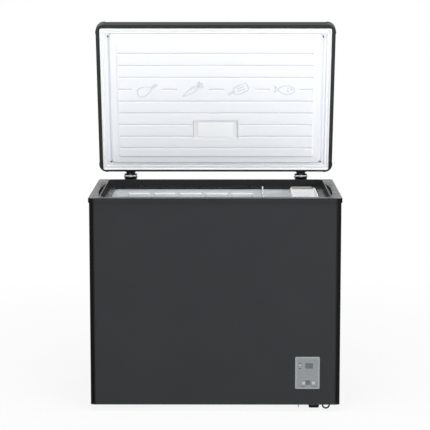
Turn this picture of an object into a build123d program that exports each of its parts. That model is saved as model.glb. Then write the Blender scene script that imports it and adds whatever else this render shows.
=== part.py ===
from build123d import *
import os
from math import asin, cos, degrees, radians, sin

# Chest freezer with a lift-up lid, in millimetres.
# +X is the right-hand end, +Y the back, +Z up, and Z = 0 the floor.
# Lengths written as y are measured back from the front edge of the collar.
# The lid stands open, as it is used, and turns about its hinge pins.

# Cabinet
collar_width = 905.0
collar_depth = 580.0
rim_z = 777.0
floor_gap = 26.0
collar_overhang = 3.0
front_corner = 14.0
sheet = 1.0
gap = 0.3
hairline = 0.2
cut = 8.0
seam_back = 22.0
pan_sheet = 1.2
pan_rib = (420.0, 14.0, 2.2)
pan_rib_x = -100.0
pan_rib_pitch = 130.0
pan_rib_count = 4
foam_floor = 2.0

# Collar section, from the outside to the inside
collar_wall = 2.5
skirt_height = 17.0
flange_width = 41.0
flange_back = 13.0
ledge_drop = 25.0
ledge_width = 26.0
lip_drop = 3.7
collar_corner = 14.0
collar_round = 2.0
opening_corner = 22.0
recess_length = 360.0
recess_width = 11.0
recess_depth = 11.0
recess_middle = 245.0
recess_strip = 5.0
mitre_gap = 0.4
mitre_over = 20.0

# Liner, with a step over the machine compartment
floor_z = 90.0
step_x = 180.0
step_z = 385.0
liner_corner = 24.0
pad_width = 89.0
pad_pitch = 99.0
pad_first = -294.0
pad_count = 5
pad_top = 732.0
pad_bottom = 130.0
pad_rise = 6.0
pad_taper = 40.0
pad_corner = 8.0

# Machine compartment
machine_x = 246.0
machine_top = 320.0
machine_room = 1.5
wall_sheet = 1.0
compressor_x = 345.0
compressor_y = 310.0
compressor_radius = 72.0
compressor_bottom = 50.0
compressor_height = 160.0
can_round = 40.0
can_seam_up = 95.0
can_seam_proud = 3.0
can_seam_height = 5.0
ear_sheet = 3.0
ear_width = 30.0
ear_bar = 26.0
ear_over = 32.0
ear_hole = 6.4
mount_x = 70.0
mount_y = 58.0
mount_radius = 11.0
mount_neck = 6.1
mount_neck_height = 5.0
mount_neck_up = 1.8
bolt_radius = 3.0
bolt_hole = 3.4
bolt_above = 6.0
bolt_below = 1.5
nut_radius = 6.0
nut_height = 3.5
tray_z = 28.0
tray_left = 256.0
tray_right = 442.0
tray_depth = 548.0
tray_side = 18.0
tray_sheet = 2.0
starter_size = (22.0, 52.0, 46.0)
starter_off = 15.0
starter_up = 66.0
starter_round = 6.0
pipe_up = 125.0
pipe_bend = 18.0
suction_radius = 4.0
suction_top = 260.0
suction_start = 74.0
suction_out = 120.0
suction_across = 80.0
discharge_radius = 2.5
discharge_top = 290.0
discharge_start = 70.0
discharge_out = 140.0
discharge_from = 30.0
discharge_to = 85.0
drier_place = (24.0, 480.0, 150.0)
drier_radius = 9.5
drier_length = 80.0
drier_round = 4.0
stub_radius = 2.5
stub_length = 20.0
stub_up = 48.0
grille_y = 300.0
grille_z = 150.0
grille_length = 262.0
grille_height = 150.0
grille_sheet = 3.0
grille_lap = 20.0
grille_edge = 8.0
grille_depth = 5.0
slat_count = 9
slat_pitch = 15.0
slat_width = 8.0
slat_sheet = 2.0
slat_tilt = 35.0
cover_x = 340.0
cover_z = 166.0
cover_width = 196.0
cover_height = 270.0
cover_lap = 16.0
cover_sheet = 1.2
cover_slot = (42.0, 7.0)
cover_slot_pitch = (54.0, 24.0)
cover_slot_count = (3, 8)
cover_slot_up = 16.0
gland_x = 291.0
gland_z = 58.0
gland_radius = 9.0
gland_length = 8.0
gland_head = 13.0
gland_head_length = 5.0
gland_head_out = 4.5
gland_bore = 4.2
gland_round = 1.2

# Tubes bonded to the walls
evaporator_radius = 4.0
condenser_radius = 2.4
coil_room = 9.3
skin_room = 6.5
tube_bond = 0.2
low_turns = 6
low_start = 120.0
low_pitch = 48.0
high_turns = 7
high_start = 420.0
high_pitch = 45.0
climb_from = 60.0
climb_to = -120.0
evaporator_bend = 20.0
condenser_runs = 7
condenser_top = 718.0
condenser_pitch = 56.0
condenser_back = 556.0
condenser_bend = 18.0

# Lid
open_angle = 73.33
lid_width = 902.0
lid_front_overhang = 8.0
lid_back_overhang = 8.7
lid_rest_gap = 6.0
lid_height = 62.0
lid_corner = 30.0
lid_edge = 28.0
cap_size = 34.0
cap_proud = 1.5
cap_wall = 3.0
rim_side = 13.5
rim_back = 7.3
rim_play = 1.9
rim_sheet = 3.0
flange_set_back = 4.0
low_rise = 4.5
high_rise = 8.0
panel_sheet = 2.5
low_side = 47.5
low_back = 36.4
low_front = 33.3
low_corner = 16.0
low_corner_inside = 14.0
high_side = 73.5
high_back = 62.6
high_front = 66.7
high_corner = 14.0
high_corner_inside = 12.0
slope_sine = 0.26
panel_lap = 4.0
panel_corner = 17.0
seal_corner = 8.0
seal_inside = 4.0
seal_play = 0.5
seal_foot = 4.0
seal_foot_width = 18.0
seal_bulb_in = 1.5
seal_bulb_width = 9.0
seal_squeeze = 0.4
foam_skin = 3.5
foam_roof = 2.5
foam_play = 0.5
foam_corner = 13.0
foam_pocket = 2.0
foam_pocket_depth = 36.0
groove_count = 9
groove_first = 101.7
groove_pitch = 48.05
groove_half = 370.0
groove_width = 3.2
groove_depth = 1.5
groove_stop = 3.0
picture_row = 5
picture_count = 4
picture_pitch = 174.5
picture_half = 58.0
lamp_width = 170.0
lamp_length = 75.0
lamp_middle = 177.7
lens_width = 136.0
lens_length = 57.0
pocket_depth = 5.0
pocket_wall = 1.5
pocket_sheet = 2.0
pocket_corner = 4.0
lens_corner = 3.0
lens_proud = 1.6
lens_round = 1.5
led_board = (120.0, 30.0, 1.6)
led_board_up = 12.0
led = (5.0, 5.0, 1.4)
led_up = 10.6
led_pitch = 18.0
led_count = 6

# Hinges
hinge_x = 331.0
pivot_back = 29.0
pivot_up = 8.0
pin_radius = 5.0
pin_over = 1.0
pin_head = 7.0
pin_head_width = 2.4
pin_head_out = 1.6
running = 0.05
cheek_inside = 41.0
cheek_sheet = 2.5
cheek_front = 580.8
cheek_shoulder = 2.0
cheek_low = 20.0
cheek_high = 11.0
cheek_lead = 7.0
cheek_tail = 9.0
channel_bottom = 600.0
channel_back = 20.0
channel_over = 9.0
wing_width = 17.0
screw_x = 30.0
screw_z = (640.0, 735.0)
screw_hole = 2.2
screw_shank = 2.0
screw_head_height = 2.2
body_screw_head = 4.2
body_screw_head_out = 4.0
body_screw_length = 2.8
body_screw_out = 1.8
leaf_screw_head = 3.2
leaf_screw_head_out = 4.3
leaf_screw_length = 3.0
leaf_screw_out = 1.9
cam_radius = 13.0
cam_offset = 6.0
cam_width = 10.0
cam_down = 40.0
neck_width = 33.0
plate_width = 40.0
leaf_screw = 12.0
leaf_screw_up = 25.0
neck_up = 18.0
leaf_sheet = 2.5
leaf_seat = 0.5
plate_length = 31.0
plate_up = 17.0
plunger_gap = 0.7
plunger_height = 16.0
plunger_round = 1.5
plunger_side = 0.7
plunger_lead = 1.5
plunger_tail = 0.5
guide_length = 14.0
guide_down = 6.0
guide_play = 0.6
spring_radius = 12.0
spring_wire = 1.75
spring_turns = 11
spring_lead = 3.0

# Control panel on the front
panel_x = 331.8
panel_z = 143.5
panel_width = 88.3
panel_height = 117.9
panel_proud = 2.0
panel_lap_x = 12.0
panel_lap_z = 14.0
panel_play = 1.0
panel_back = 3.0
panel_round = 4.5
panel_edge = 0.8
field_border = 13.0
field_depth = 0.5
field_round = 3.0
window_x = 338.1
window_z = 169.5
window_width = 27.4
window_height = 20.2
window_round = 1.5
window_set = 2.6
window_sheet = 1.9
button_x = (318.5, 353.5)
button_z = 106.0
button_width = 11.5
button_height = 11.5
button_round = 3.0
button_play = 0.8
button_depth = 4.5
button_proud = 0.4
button_edge = 0.7
badge_x = 334.0
badge_z = 108.0
badge_width = 17.0
lamp_x = 305.0
lamp_z = (178.0, 160.0)
lamp_slot = (9.0, 4.0)
lamp_set = 3.0
lamp_depth = 2.5
board_size = (70.0, 96.0)
board_back = 8.0
board_sheet = 1.6
chip_size = (22.0, 16.0)
chip_height = 7.0
chip_spots = [(-12.0, 18.0), (16.0, -20.0)]
box_lap = 10.0
box_wall = 2.0
box_back = 4.2
box_depth = 18.0
box_round = 3.0

# Basket and divider, hung on the ledges
basket_left = 286.0
basket_right = 381.0
basket_height = 170.0
basket_wall = 2.5
basket_end_gap = 6.0
basket_round = 12.0
basket_hook = (79.0, 22.0, 2.4)
basket_hook_over = 9.0
basket_hook_shift = 5.0
divider_x = 180.0
divider_bottom = 402.0
wire = 2.0
wire_thin = 1.6
wire_pitch = 38.0
wire_count = 10
wire_inset = 9.0
wire_drop = 14.0
wire_hook = 22.0
wire_bend = 7.0

# Feet, drain
foot_x = 359.0
foot_bottom = 17.5
foot_flare = 13.0
foot_corner = 4.0
foot_round = 0.8
foot_seat = 0.1
feet_y = {"front_right": 79.5, "front_left": 128.0, "back_right": 500.0, "back_left": 500.0}
drain_x = 130.0
drain_y = 120.0
drain_radius = 10.0
drain_passage = 12.0
drain_duct = 22.0
drain_run_z = 55.0
drain_run_x = 40.0
drain_run_y = 60.0
drain_bend = 16.0
drain_pipe_radius = 7.0
drain_pipe_bore = 5.5
drain_pipe_down = 6.0
plug_radius = 15.0
plug_height = 3.0
plug_shank = 4.5
plug_grip = (18.0, 4.0, 10.0)
plug_round = 3.0
loop_x = 400.7
loop_y = 26.0
loop_half = 12.0
loop_tube = 2.8
loop_bottom = 5.5
loop_top = 48.0
tab_x = 302.0
tab_y = 46.0
tab_width = 5.5
tab_bottom = 5.0

# The cap at the back of the open lid is the rearmost point,
# and the origin lies halfway between it and the front of the collar.
back_from_pivot = lid_back_overhang - pivot_back
top_from_pivot = lid_rest_gap - pivot_up + lid_height
turn = radians(open_angle)
edge_y = (back_from_pivot - lid_edge) * cos(turn) + (top_from_pivot - lid_edge) * sin(turn)
rearmost = collar_depth + pivot_back + edge_y + lid_edge + cap_proud
front_y = -rearmost / 2
pivot_y = front_y + collar_depth + pivot_back
pivot_z = rim_z + pivot_up

ground = Plane((0, front_y, 0))
face = Plane((0, front_y + collar_overhang, 0), x_dir=(1, 0, 0), z_dir=(0, -1, 0))
lid = Plane((0, pivot_y, pivot_z), x_dir=(1, 0, 0), z_dir=(0, sin(turn), cos(turn)))
lid_up = Axis(lid.origin, lid.z_dir)

# Lid heights and lengths, seen from the pivot with the lid shut
lid_rim = lid_rest_gap - pivot_up
lid_back = back_from_pivot
lid_length = collar_depth + lid_front_overhang + lid_back_overhang
lid_mid = lid_back - lid_length / 2

cabinet_width = collar_width - 2 * collar_overhang
cabinet_depth = collar_depth - 2 * collar_overhang
cabinet_back = collar_depth - collar_overhang
cabinet_half = cabinet_width / 2
inset = flange_width + ledge_width
ledge_z = rim_z - ledge_drop
liner_half = collar_width / 2 - inset + collar_wall + gap
liner_front = inset - collar_wall - gap
liner_back = collar_depth - liner_front
middle_y = collar_depth / 2
seam_y = cabinet_back - seam_back

os.makedirs("parts", exist_ok=True)


def side_plane(x):
    # Looking along -X: first coordinate y, second z
    return Plane((x, front_y, 0), x_dir=(0, 1, 0), z_dir=(1, 0, 0))


def lid_side_plane(x):
    # The same on the lid, measured from the pivot
    return Plane(lid.from_local_coords((x, 0, 0)), x_dir=lid.y_dir, z_dir=lid.x_dir)


def write(part, name):
    part.label = name
    export_step(part, f"parts/{name}.step")


# Front and sides: one folded sheet, and a back sheet with returned edges.
# The back is cut away behind the machine compartment.
for name, cut_y in (("outer_wrap", seam_y + rim_z / 2), ("back_panel", seam_y - rim_z / 2 + gap)):
    with BuildPart(ground) as shell:
        with BuildSketch(ground.offset(floor_gap)):
            with Locations((0, middle_y)):
                RectangleRounded(cabinet_width, cabinet_depth, front_corner)
                RectangleRounded(
                    cabinet_width - 2 * sheet,
                    cabinet_depth - 2 * sheet,
                    front_corner - sheet,
                    mode=Mode.SUBTRACT,
                )
        extrude(amount=rim_z - collar_wall - gap - floor_gap)
        with Locations((0, cut_y, rim_z / 2)):
            Box(2 * collar_width, rim_z, 2 * rim_z, mode=Mode.SUBTRACT)
        with Locations((panel_x, collar_overhang, panel_z)):
            Box(panel_width - panel_lap_x, cut, panel_height - panel_lap_z, mode=Mode.SUBTRACT)
        with Locations((cabinet_half, grille_y, grille_z)):
            Box(cut, grille_length, grille_height, mode=Mode.SUBTRACT)
        with Locations((cover_x, cabinet_back, cover_z)):
            Box(cover_width - cover_lap, cut, cover_height - cover_lap, mode=Mode.SUBTRACT)
    write(shell.part, name)

# Base sheet under the insulated well, with pressed ribs
with BuildPart(ground) as base_pan:
    pan_right = machine_x - sheet
    pan_left = -cabinet_half + sheet + gap
    with Locations(((pan_left + pan_right) / 2, middle_y, floor_gap + pan_sheet / 2)):
        Box(pan_right - pan_left, cabinet_depth - 4 * sheet, pan_sheet)
    fillet(base_pan.edges().filter_by(Axis.Z).group_by(Axis.X)[0], front_corner)
    with Locations((pan_rib_x, middle_y, floor_gap - sheet)):
        with GridLocations(0, pan_rib_pitch, 1, pan_rib_count):
            Box(*pan_rib)
write(base_pan.part, "base_pan")

# Collar: skirt, flange, inner wall, ledge and lip, with a cup for each finger recess,
# in four lengths mitred at the corners
recess_x = collar_width / 2 - flange_width + recess_strip
recess_radius = (recess_length**2 / 4 + recess_width**2) / (2 * recess_width)
with BuildPart(ground) as collar:
    with BuildSketch(ground.offset(rim_z - skirt_height)):
        with Locations((0, middle_y)):
            RectangleRounded(collar_width, collar_depth, collar_corner)
            RectangleRounded(
                collar_width - 2 * collar_wall,
                collar_depth - 2 * collar_wall,
                collar_corner - collar_wall,
                mode=Mode.SUBTRACT,
            )
    extrude(amount=skirt_height)
    flange_hole = (collar_width - 2 * flange_width, collar_depth - flange_width - flange_back)
    hole_y = (collar_depth + flange_width - flange_back) / 2
    ledge_hole = (collar_width - 2 * inset, collar_depth - 2 * inset)
    with BuildSketch(ground.offset(rim_z - collar_wall)):
        with Locations((0, middle_y)):
            RectangleRounded(collar_width, collar_depth, collar_corner)
        with Locations((0, hole_y)):
            RectangleRounded(*flange_hole, opening_corner, mode=Mode.SUBTRACT)
    extrude(amount=collar_wall)
    with BuildSketch(ground.offset(ledge_z - collar_wall)):
        with Locations((0, hole_y)):
            RectangleRounded(
                flange_hole[0] + 2 * collar_wall,
                flange_hole[1] + 2 * collar_wall,
                opening_corner + collar_wall,
            )
            RectangleRounded(*flange_hole, opening_corner, mode=Mode.SUBTRACT)
    extrude(amount=ledge_drop + collar_wall)
    with BuildSketch(ground.offset(ledge_z - collar_wall)):
        with Locations((0, hole_y)):
            RectangleRounded(
                flange_hole[0] + collar_wall, flange_hole[1] + collar_wall, opening_corner
            )
        with Locations((0, middle_y)):
            RectangleRounded(*ledge_hole, opening_corner, mode=Mode.SUBTRACT)
    extrude(amount=collar_wall)
    with BuildSketch(ground.offset(ledge_z - collar_wall - lip_drop)):
        with Locations((0, middle_y)):
            RectangleRounded(
                ledge_hole[0] + 2 * collar_wall,
                ledge_hole[1] + 2 * collar_wall,
                opening_corner + collar_wall,
            )
            RectangleRounded(*ledge_hole, opening_corner, mode=Mode.SUBTRACT)
    extrude(amount=lip_drop + collar_wall)
    for side in (-1, 1):
        with BuildSketch(ground.offset(rim_z - recess_depth - collar_wall)) as cup:
            with Locations((side * (recess_x + recess_width - recess_radius), recess_middle)):
                Circle(recess_radius + collar_wall)
            with Locations((side * (recess_x - collar_wall + collar_width / 2), recess_middle)):
                Rectangle(collar_width, recess_length + 2 * collar_wall, mode=Mode.INTERSECT)
        extrude(amount=recess_depth + collar_wall)
    for side in (-1, 1):
        with BuildSketch(ground.offset(rim_z - recess_depth)):
            with Locations((side * (recess_x + recess_width - recess_radius), recess_middle)):
                Circle(recess_radius)
            with Locations((side * (recess_x + collar_width / 2), recess_middle)):
                Rectangle(collar_width, recess_length, mode=Mode.INTERSECT)
        extrude(amount=recess_depth + collar_wall, mode=Mode.SUBTRACT)
    top_face = collar.faces().filter_by(Axis.Z).group_by(Axis.Z)[-1]
    outer_edges = top_face[0].outer_wire().edges()
    fillet(outer_edges, collar_round)
    for side, end in ((-1, -1), (-1, 1), (1, -1), (1, 1)):
        mitre_x = side * (collar_width - inset) / 2
        mitre_y = middle_y + end * (collar_depth - inset) / 2
        with Locations(Location((mitre_x, mitre_y, rim_z), (0, 0, -45 * side * end))):
            Box(mitre_gap, 2 * inset + mitre_over, 4 * inset, mode=Mode.SUBTRACT)
write(collar.part, "top_collar")

# Liner: a deep well and a shallow shelf over the machine compartment,
# with raised panels on the long walls
liner_depth = liner_back - liner_front
liner_top = ledge_z - collar_wall - gap
with BuildPart(ground) as liner:
    for skin, mode in ((sheet, Mode.ADD), (0, Mode.SUBTRACT)):
        for right, low in ((step_x, floor_z), (liner_half, step_z)):
            with BuildSketch(ground.offset(low - skin)):
                with Locations(((right - liner_half) / 2, middle_y)):
                    RectangleRounded(
                        right + liner_half + 2 * skin, liner_depth + 2 * skin, liner_corner + skin
                    )
            extrude(amount=liner_top - low + skin, mode=mode)
    for wall_y, inward in ((liner_front, 1), (liner_back, -1)):
        wall_start = (0, front_y + wall_y - inward * sheet / 2, 0)
        with BuildSketch(Plane(wall_start, x_dir=(-inward, 0, 0), z_dir=(0, inward, 0))):
            for k in range(pad_count):
                pad_x = -inward * (pad_first + k * pad_pitch)
                with Locations((pad_x, (pad_top + pad_bottom) / 2)):
                    RectangleRounded(pad_width, pad_top - pad_bottom, pad_corner)
        extrude(amount=pad_rise + sheet / 2, taper=pad_taper)
    with Locations((drain_x, drain_y, floor_z - sheet / 2)):
        Cylinder(drain_radius + gap, cut, mode=Mode.SUBTRACT)
write(liner.part, "inner_liner")

# Insulation between the sheets, clear of both tubes
foam_half = cabinet_half - sheet - skin_room
foam_front = collar_overhang + sheet + skin_room
foam_back = cabinet_back - 3 * sheet
foam_top = ledge_z - collar_wall - lip_drop - gap
with BuildPart(ground) as cabinet_foam:
    foam_bottom = floor_gap + foam_floor
    with Locations((0, (foam_front + foam_back) / 2, (foam_bottom + foam_top) / 2)):
        Box(2 * foam_half, foam_back - foam_front, foam_top - foam_bottom)
    fillet(cabinet_foam.edges().filter_by(Axis.Z), front_corner)
    well_right = step_x + sheet + coil_room
    well_left = -liner_half - sheet - coil_room
    room_depth = liner_depth + 2 * (sheet + coil_room)
    with Locations(((well_left + well_right) / 2, middle_y, floor_z - sheet - gap + rim_z / 2)):
        Box(well_right - well_left, room_depth, rim_z, mode=Mode.SUBTRACT)
    with Locations((0, middle_y, step_z - sheet - gap + rim_z / 2)):
        Box(-2 * well_left, room_depth, rim_z, mode=Mode.SUBTRACT)
    room_x = machine_x - machine_room + cabinet_half / 2
    room_z = machine_top + machine_room - rim_z / 2
    with Locations((room_x, middle_y, room_z)):
        Box(cabinet_half, 2 * cabinet_depth, rim_z, mode=Mode.SUBTRACT)
    with Locations((drain_x, drain_y, floor_z / 2)):
        Cylinder(drain_passage, floor_z, mode=Mode.SUBTRACT)
    with Locations(((drain_x + machine_x) / 2, drain_y, drain_run_z)):
        Box(machine_x - drain_x + drain_duct, drain_duct, drain_duct, mode=Mode.SUBTRACT)
write(cabinet_foam.part, "cabinet_foam")

# Evaporator: one tube wound up the outside of the liner, stepping up on the rear wall
tube_off = sheet + evaporator_radius + tube_bond
front_run = liner_front - tube_off
back_run = liner_back + tube_off
left_run = -liner_half - tube_off
turns = [(low_start + low_pitch * k, step_x + tube_off) for k in range(low_turns)]
turns += [(high_start + high_pitch * k, liner_half + tube_off) for k in range(high_turns)]
route = []
for k, (height, right_run) in enumerate(turns):
    route += [
        (left_run, front_run, height),
        (right_run, front_run, height),
        (right_run, back_run, height),
        (climb_from, back_run, height),
    ]
    if k + 1 < len(turns):
        route += [(climb_to, back_run, turns[k + 1][0]), (left_run, back_run, turns[k + 1][0])]
with BuildPart() as evaporator:
    with BuildLine() as evaporator_path:
        FilletPolyline(*[ground.from_local_coords(p) for p in route], radius=evaporator_bend)
    with BuildSketch(Plane(evaporator_path.line @ 0, z_dir=evaporator_path.line % 0)):
        Circle(evaporator_radius)
    sweep()
write(evaporator.part, "evaporator_tube")

# Condenser: a tube run to and fro on the inside of the front and sides
skin_off = sheet + condenser_radius + gap
skin_x = cabinet_half - skin_off
skin_y = collar_overhang + skin_off
route = []
for k in range(condenser_runs):
    height = condenser_top - condenser_pitch * k
    run = [(-skin_x, condenser_back, height), (-skin_x, skin_y, height)]
    run += [(skin_x, skin_y, height), (skin_x, condenser_back, height)]
    route += run if k % 2 == 0 else run[::-1]
with BuildPart() as condenser:
    with BuildLine() as condenser_path:
        FilletPolyline(*[ground.from_local_coords(p) for p in route], radius=condenser_bend)
    with BuildSketch(Plane(condenser_path.line @ 0, z_dir=condenser_path.line % 0)):
        Circle(condenser_radius)
    sweep()
write(condenser.part, "condenser_tube")

# Wall between the insulation and the machine compartment
with BuildPart(ground) as machine_wall:
    wall_right = cabinet_half - sheet - gap
    wall_depth = cabinet_depth - 2 * front_corner
    with Locations((machine_x + wall_sheet / 2, middle_y, (tray_z + machine_top) / 2)):
        Box(wall_sheet, wall_depth, machine_top - tray_z)
    with Locations(((machine_x + wall_right) / 2, middle_y, machine_top - wall_sheet / 2)):
        Box(wall_right - machine_x, wall_depth, wall_sheet)
    with Locations((machine_x, drain_y, drain_run_z)):
        Box(cut, drain_duct, drain_duct, mode=Mode.SUBTRACT)
write(machine_wall.part, "machine_wall")

# Tray under the compressor, with turned-up sides and a small hanging tab
with BuildPart(ground) as compressor_tray:
    tray_mid = (tray_left + tray_right) / 2
    with Locations((tray_mid, middle_y, tray_z + tray_sheet / 2)):
        Box(tray_right - tray_left, tray_depth, tray_sheet)
    with Locations((tray_mid, middle_y, tray_z + tray_side / 2)):
        with GridLocations(tray_right - tray_left - tray_sheet, 0, 2, 1):
            Box(tray_sheet, tray_depth, tray_side)
    with Locations((tab_x, tab_y, (tray_z + tray_sheet / 2 + tab_bottom) / 2)):
        Box(tab_width, tray_sheet, tray_z + tray_sheet / 2 - tab_bottom)
    with Locations((loop_x - loop_half, loop_y, tray_z), (loop_x + loop_half, loop_y, tray_z)):
        Cylinder(loop_tube + gap, cut, mode=Mode.SUBTRACT)
    with Locations((compressor_x, compressor_y, tray_z)):
        with GridLocations(2 * mount_x, 2 * mount_y, 2, 2):
            Cylinder(bolt_hole, cut, mode=Mode.SUBTRACT)
write(compressor_tray.part, "compressor_tray")

# Compressor: welded steel can with a seam and four mounting ears
with BuildPart(ground) as compressor:
    with BuildSketch(ground.offset(compressor_bottom)):
        with Locations((compressor_x, compressor_y)):
            Circle(compressor_radius)
    extrude(amount=compressor_height)
    can_ends = compressor.faces().filter_by(Axis.Z)
    fillet(can_ends.edges(), can_round)
    with Locations((compressor_x, compressor_y, compressor_bottom + can_seam_up)):
        Cylinder(compressor_radius + can_seam_proud, can_seam_height)
    with Locations((compressor_x, compressor_y, compressor_bottom + ear_sheet / 2)):
        Box(2 * mount_x + ear_over, ear_bar, ear_sheet)
        with GridLocations(2 * mount_x, 0, 2, 1):
            Box(ear_width, 2 * mount_y + ear_over, ear_sheet)
        with GridLocations(2 * mount_x, 2 * mount_y, 2, 2):
            Cylinder(ear_hole, cut, mode=Mode.SUBTRACT)
write(compressor.part, "compressor")

# Rubber mounts with a neck in each ear
with BuildPart(ground) as rubber_mounts:
    with Locations((compressor_x, compressor_y, (tray_z + tray_sheet + compressor_bottom) / 2)):
        with GridLocations(2 * mount_x, 2 * mount_y, 2, 2):
            Cylinder(mount_radius, compressor_bottom - tray_z - tray_sheet - hairline)
    with Locations((compressor_x, compressor_y, compressor_bottom + mount_neck_up)):
        with GridLocations(2 * mount_x, 2 * mount_y, 2, 2):
            Cylinder(mount_neck, mount_neck_height)
    with Locations((compressor_x, compressor_y, compressor_bottom)):
        with GridLocations(2 * mount_x, 2 * mount_y, 2, 2):
            Cylinder(bolt_hole, 2 * compressor_bottom, mode=Mode.SUBTRACT)
write(rubber_mounts.part, "rubber_mounts")

with BuildPart(ground) as mount_bolts:
    bolt_top = compressor_bottom + bolt_above
    bolt_end = tray_z - bolt_below
    with Locations((compressor_x, compressor_y, (bolt_end + bolt_top) / 2)):
        with GridLocations(2 * mount_x, 2 * mount_y, 2, 2):
            Cylinder(bolt_radius, bolt_top - bolt_end)
    for nut_z in (bolt_top - sheet, tray_z - nut_height - sheet / 2):
        with BuildSketch(ground.offset(nut_z)):
            with Locations((compressor_x, compressor_y)):
                with GridLocations(2 * mount_x, 2 * mount_y, 2, 2):
                    RegularPolygon(nut_radius, 6)
        extrude(amount=nut_height)
write(mount_bolts.part, "mount_bolts")

# Starter and overload box on the side of the can
with BuildPart(ground) as starter_box:
    starter_x = compressor_x - compressor_radius - starter_off
    with Locations((starter_x, compressor_y, compressor_bottom + starter_up)):
        Box(*starter_size)
    fillet(starter_box.edges().filter_by(Axis.X), starter_round)
write(starter_box.part, "starter_box")

# Refrigerant pipes between the can and the tubes in the walls
pipe_start = compressor_bottom + pipe_up
suction = [
    (compressor_x, compressor_y + suction_start, pipe_start),
    (compressor_x, compressor_y + suction_out, pipe_start),
    (compressor_x, compressor_y + suction_out, suction_top),
    (compressor_x - suction_across, compressor_y + suction_out, suction_top),
]
discharge = [
    (compressor_x + discharge_from, compressor_y - discharge_start, pipe_start),
    (compressor_x + discharge_from, compressor_y - discharge_out, pipe_start),
    (compressor_x + discharge_from, compressor_y - discharge_out, discharge_top),
    (compressor_x + discharge_to, compressor_y - discharge_out, discharge_top),
]
for name, points, radius in (
    ("suction_pipe", suction, suction_radius),
    ("discharge_pipe", discharge, discharge_radius),
):
    with BuildPart() as pipe:
        with BuildLine() as pipe_path:
            FilletPolyline(*[ground.from_local_coords(p) for p in points], radius=pipe_bend)
        with BuildSketch(Plane(pipe_path.line @ 0, z_dir=pipe_path.line % 0)):
            Circle(radius)
        sweep()
    write(pipe.part, name)

# Filter drier, upright beside the machine wall
drier_x, drier_y, drier_z = drier_place
with BuildPart(Plane((machine_x + drier_x, front_y + drier_y, drier_z))) as filter_drier:
    Cylinder(drier_radius, drier_length)
    fillet(filter_drier.edges(), drier_round)
    with Locations((0, 0, stub_up), (0, 0, -stub_up)):
        Cylinder(stub_radius, stub_length)
write(filter_drier.part, "filter_drier")

# Side grille: frame behind the sheet, tilted slats in the opening
with BuildPart(ground) as side_grille:
    frame_x = cabinet_half - sheet - gap - grille_sheet / 2
    slat_x = cabinet_half - gap - slat_width / 2
    with Locations((frame_x, grille_y, grille_z)):
        Box(grille_sheet, grille_length + grille_lap, grille_height + grille_lap)
    with Locations((cabinet_half - grille_depth / 2, grille_y, grille_z)):
        Box(grille_depth, grille_length - sheet, grille_height - sheet)
        Box(4 * cut, grille_length - grille_edge, grille_height - grille_edge, mode=Mode.SUBTRACT)
    for k in range(slat_count):
        slat_z = grille_z + slat_pitch * (k - (slat_count - 1) / 2)
        with Locations(Location((slat_x, grille_y, slat_z), (0, slat_tilt, 0))):
            Box(slat_width, grille_length - grille_edge + sheet, slat_sheet)
    with Locations((slat_x, grille_y, grille_z)):
        with GridLocations(0, grille_length / 3, 1, 2):
            Box(grille_depth, grille_sheet, grille_height - grille_edge + sheet)
write(side_grille.part, "side_grille")

# Rear cover of the machine compartment, slotted
with BuildPart(ground) as rear_cover:
    with Locations((cover_x, cabinet_back + hairline + cover_sheet / 2, cover_z)):
        Box(cover_width, cover_sheet, cover_height)
    with BuildSketch(Plane((0, front_y + cabinet_back + cut / 2, 0), x_dir=(1, 0, 0), z_dir=(0, -1, 0))):
        with Locations((cover_x, cover_z + cover_slot_up)):
            with GridLocations(*cover_slot_pitch, *cover_slot_count):
                SlotOverall(*cover_slot)
        with Locations((gland_x, gland_z)):
            Circle(gland_radius + hairline)
    extrude(amount=cut, mode=Mode.SUBTRACT)
write(rear_cover.part, "rear_cover")

# Bushing that the mains lead comes out of
with BuildPart(Plane((gland_x, front_y + cabinet_back, gland_z), z_dir=(0, 1, 0))) as cord_gland:
    Cylinder(gland_radius, gland_length)
    with Locations((0, 0, gland_head_out)):
        Cylinder(gland_head, gland_head_length)
    Cylinder(gland_bore, 4 * gland_length, mode=Mode.SUBTRACT)
    fillet(cord_gland.faces().sort_by(Axis.Y)[-1].edges(), gland_round)
write(cord_gland.part, "cord_gland")

# Feet: tapered pads under the base sheet and the tray
for name, foot_y in feet_y.items():
    right = name.endswith("right")
    foot_height = (tray_z if right else floor_gap) - foot_seat
    foot_place = Plane((foot_x if right else -foot_x, front_y + foot_y, 0))
    with BuildPart(foot_place) as foot:
        with BuildSketch(foot_place):
            RectangleRounded(2 * foot_bottom, 2 * foot_bottom, foot_corner)
        extrude(amount=foot_height, taper=-foot_flare)
        fillet(foot.faces().sort_by(Axis.Z)[0].edges(), foot_round)
    write(foot.part, f"foot_{name}")

# Drain: pipe from the well through the compartment, loop under the front, and a plug
with BuildPart() as drain_pipe:
    drain_route = [
        (drain_x, drain_y, floor_z - sheet - drain_pipe_down),
        (drain_x, drain_y, drain_run_z),
        (loop_x - drain_run_x, drain_y, drain_run_z),
        (loop_x - drain_run_x, drain_y - drain_run_y, drain_run_z),
    ]
    with BuildLine() as drain_path:
        FilletPolyline(*[ground.from_local_coords(p) for p in drain_route], radius=drain_bend)
    with BuildSketch(Plane(drain_path.line @ 0, z_dir=drain_path.line % 0)):
        Circle(drain_pipe_radius)
        Circle(drain_pipe_bore, mode=Mode.SUBTRACT)
    sweep()
write(drain_pipe.part, "drain_pipe")

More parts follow.
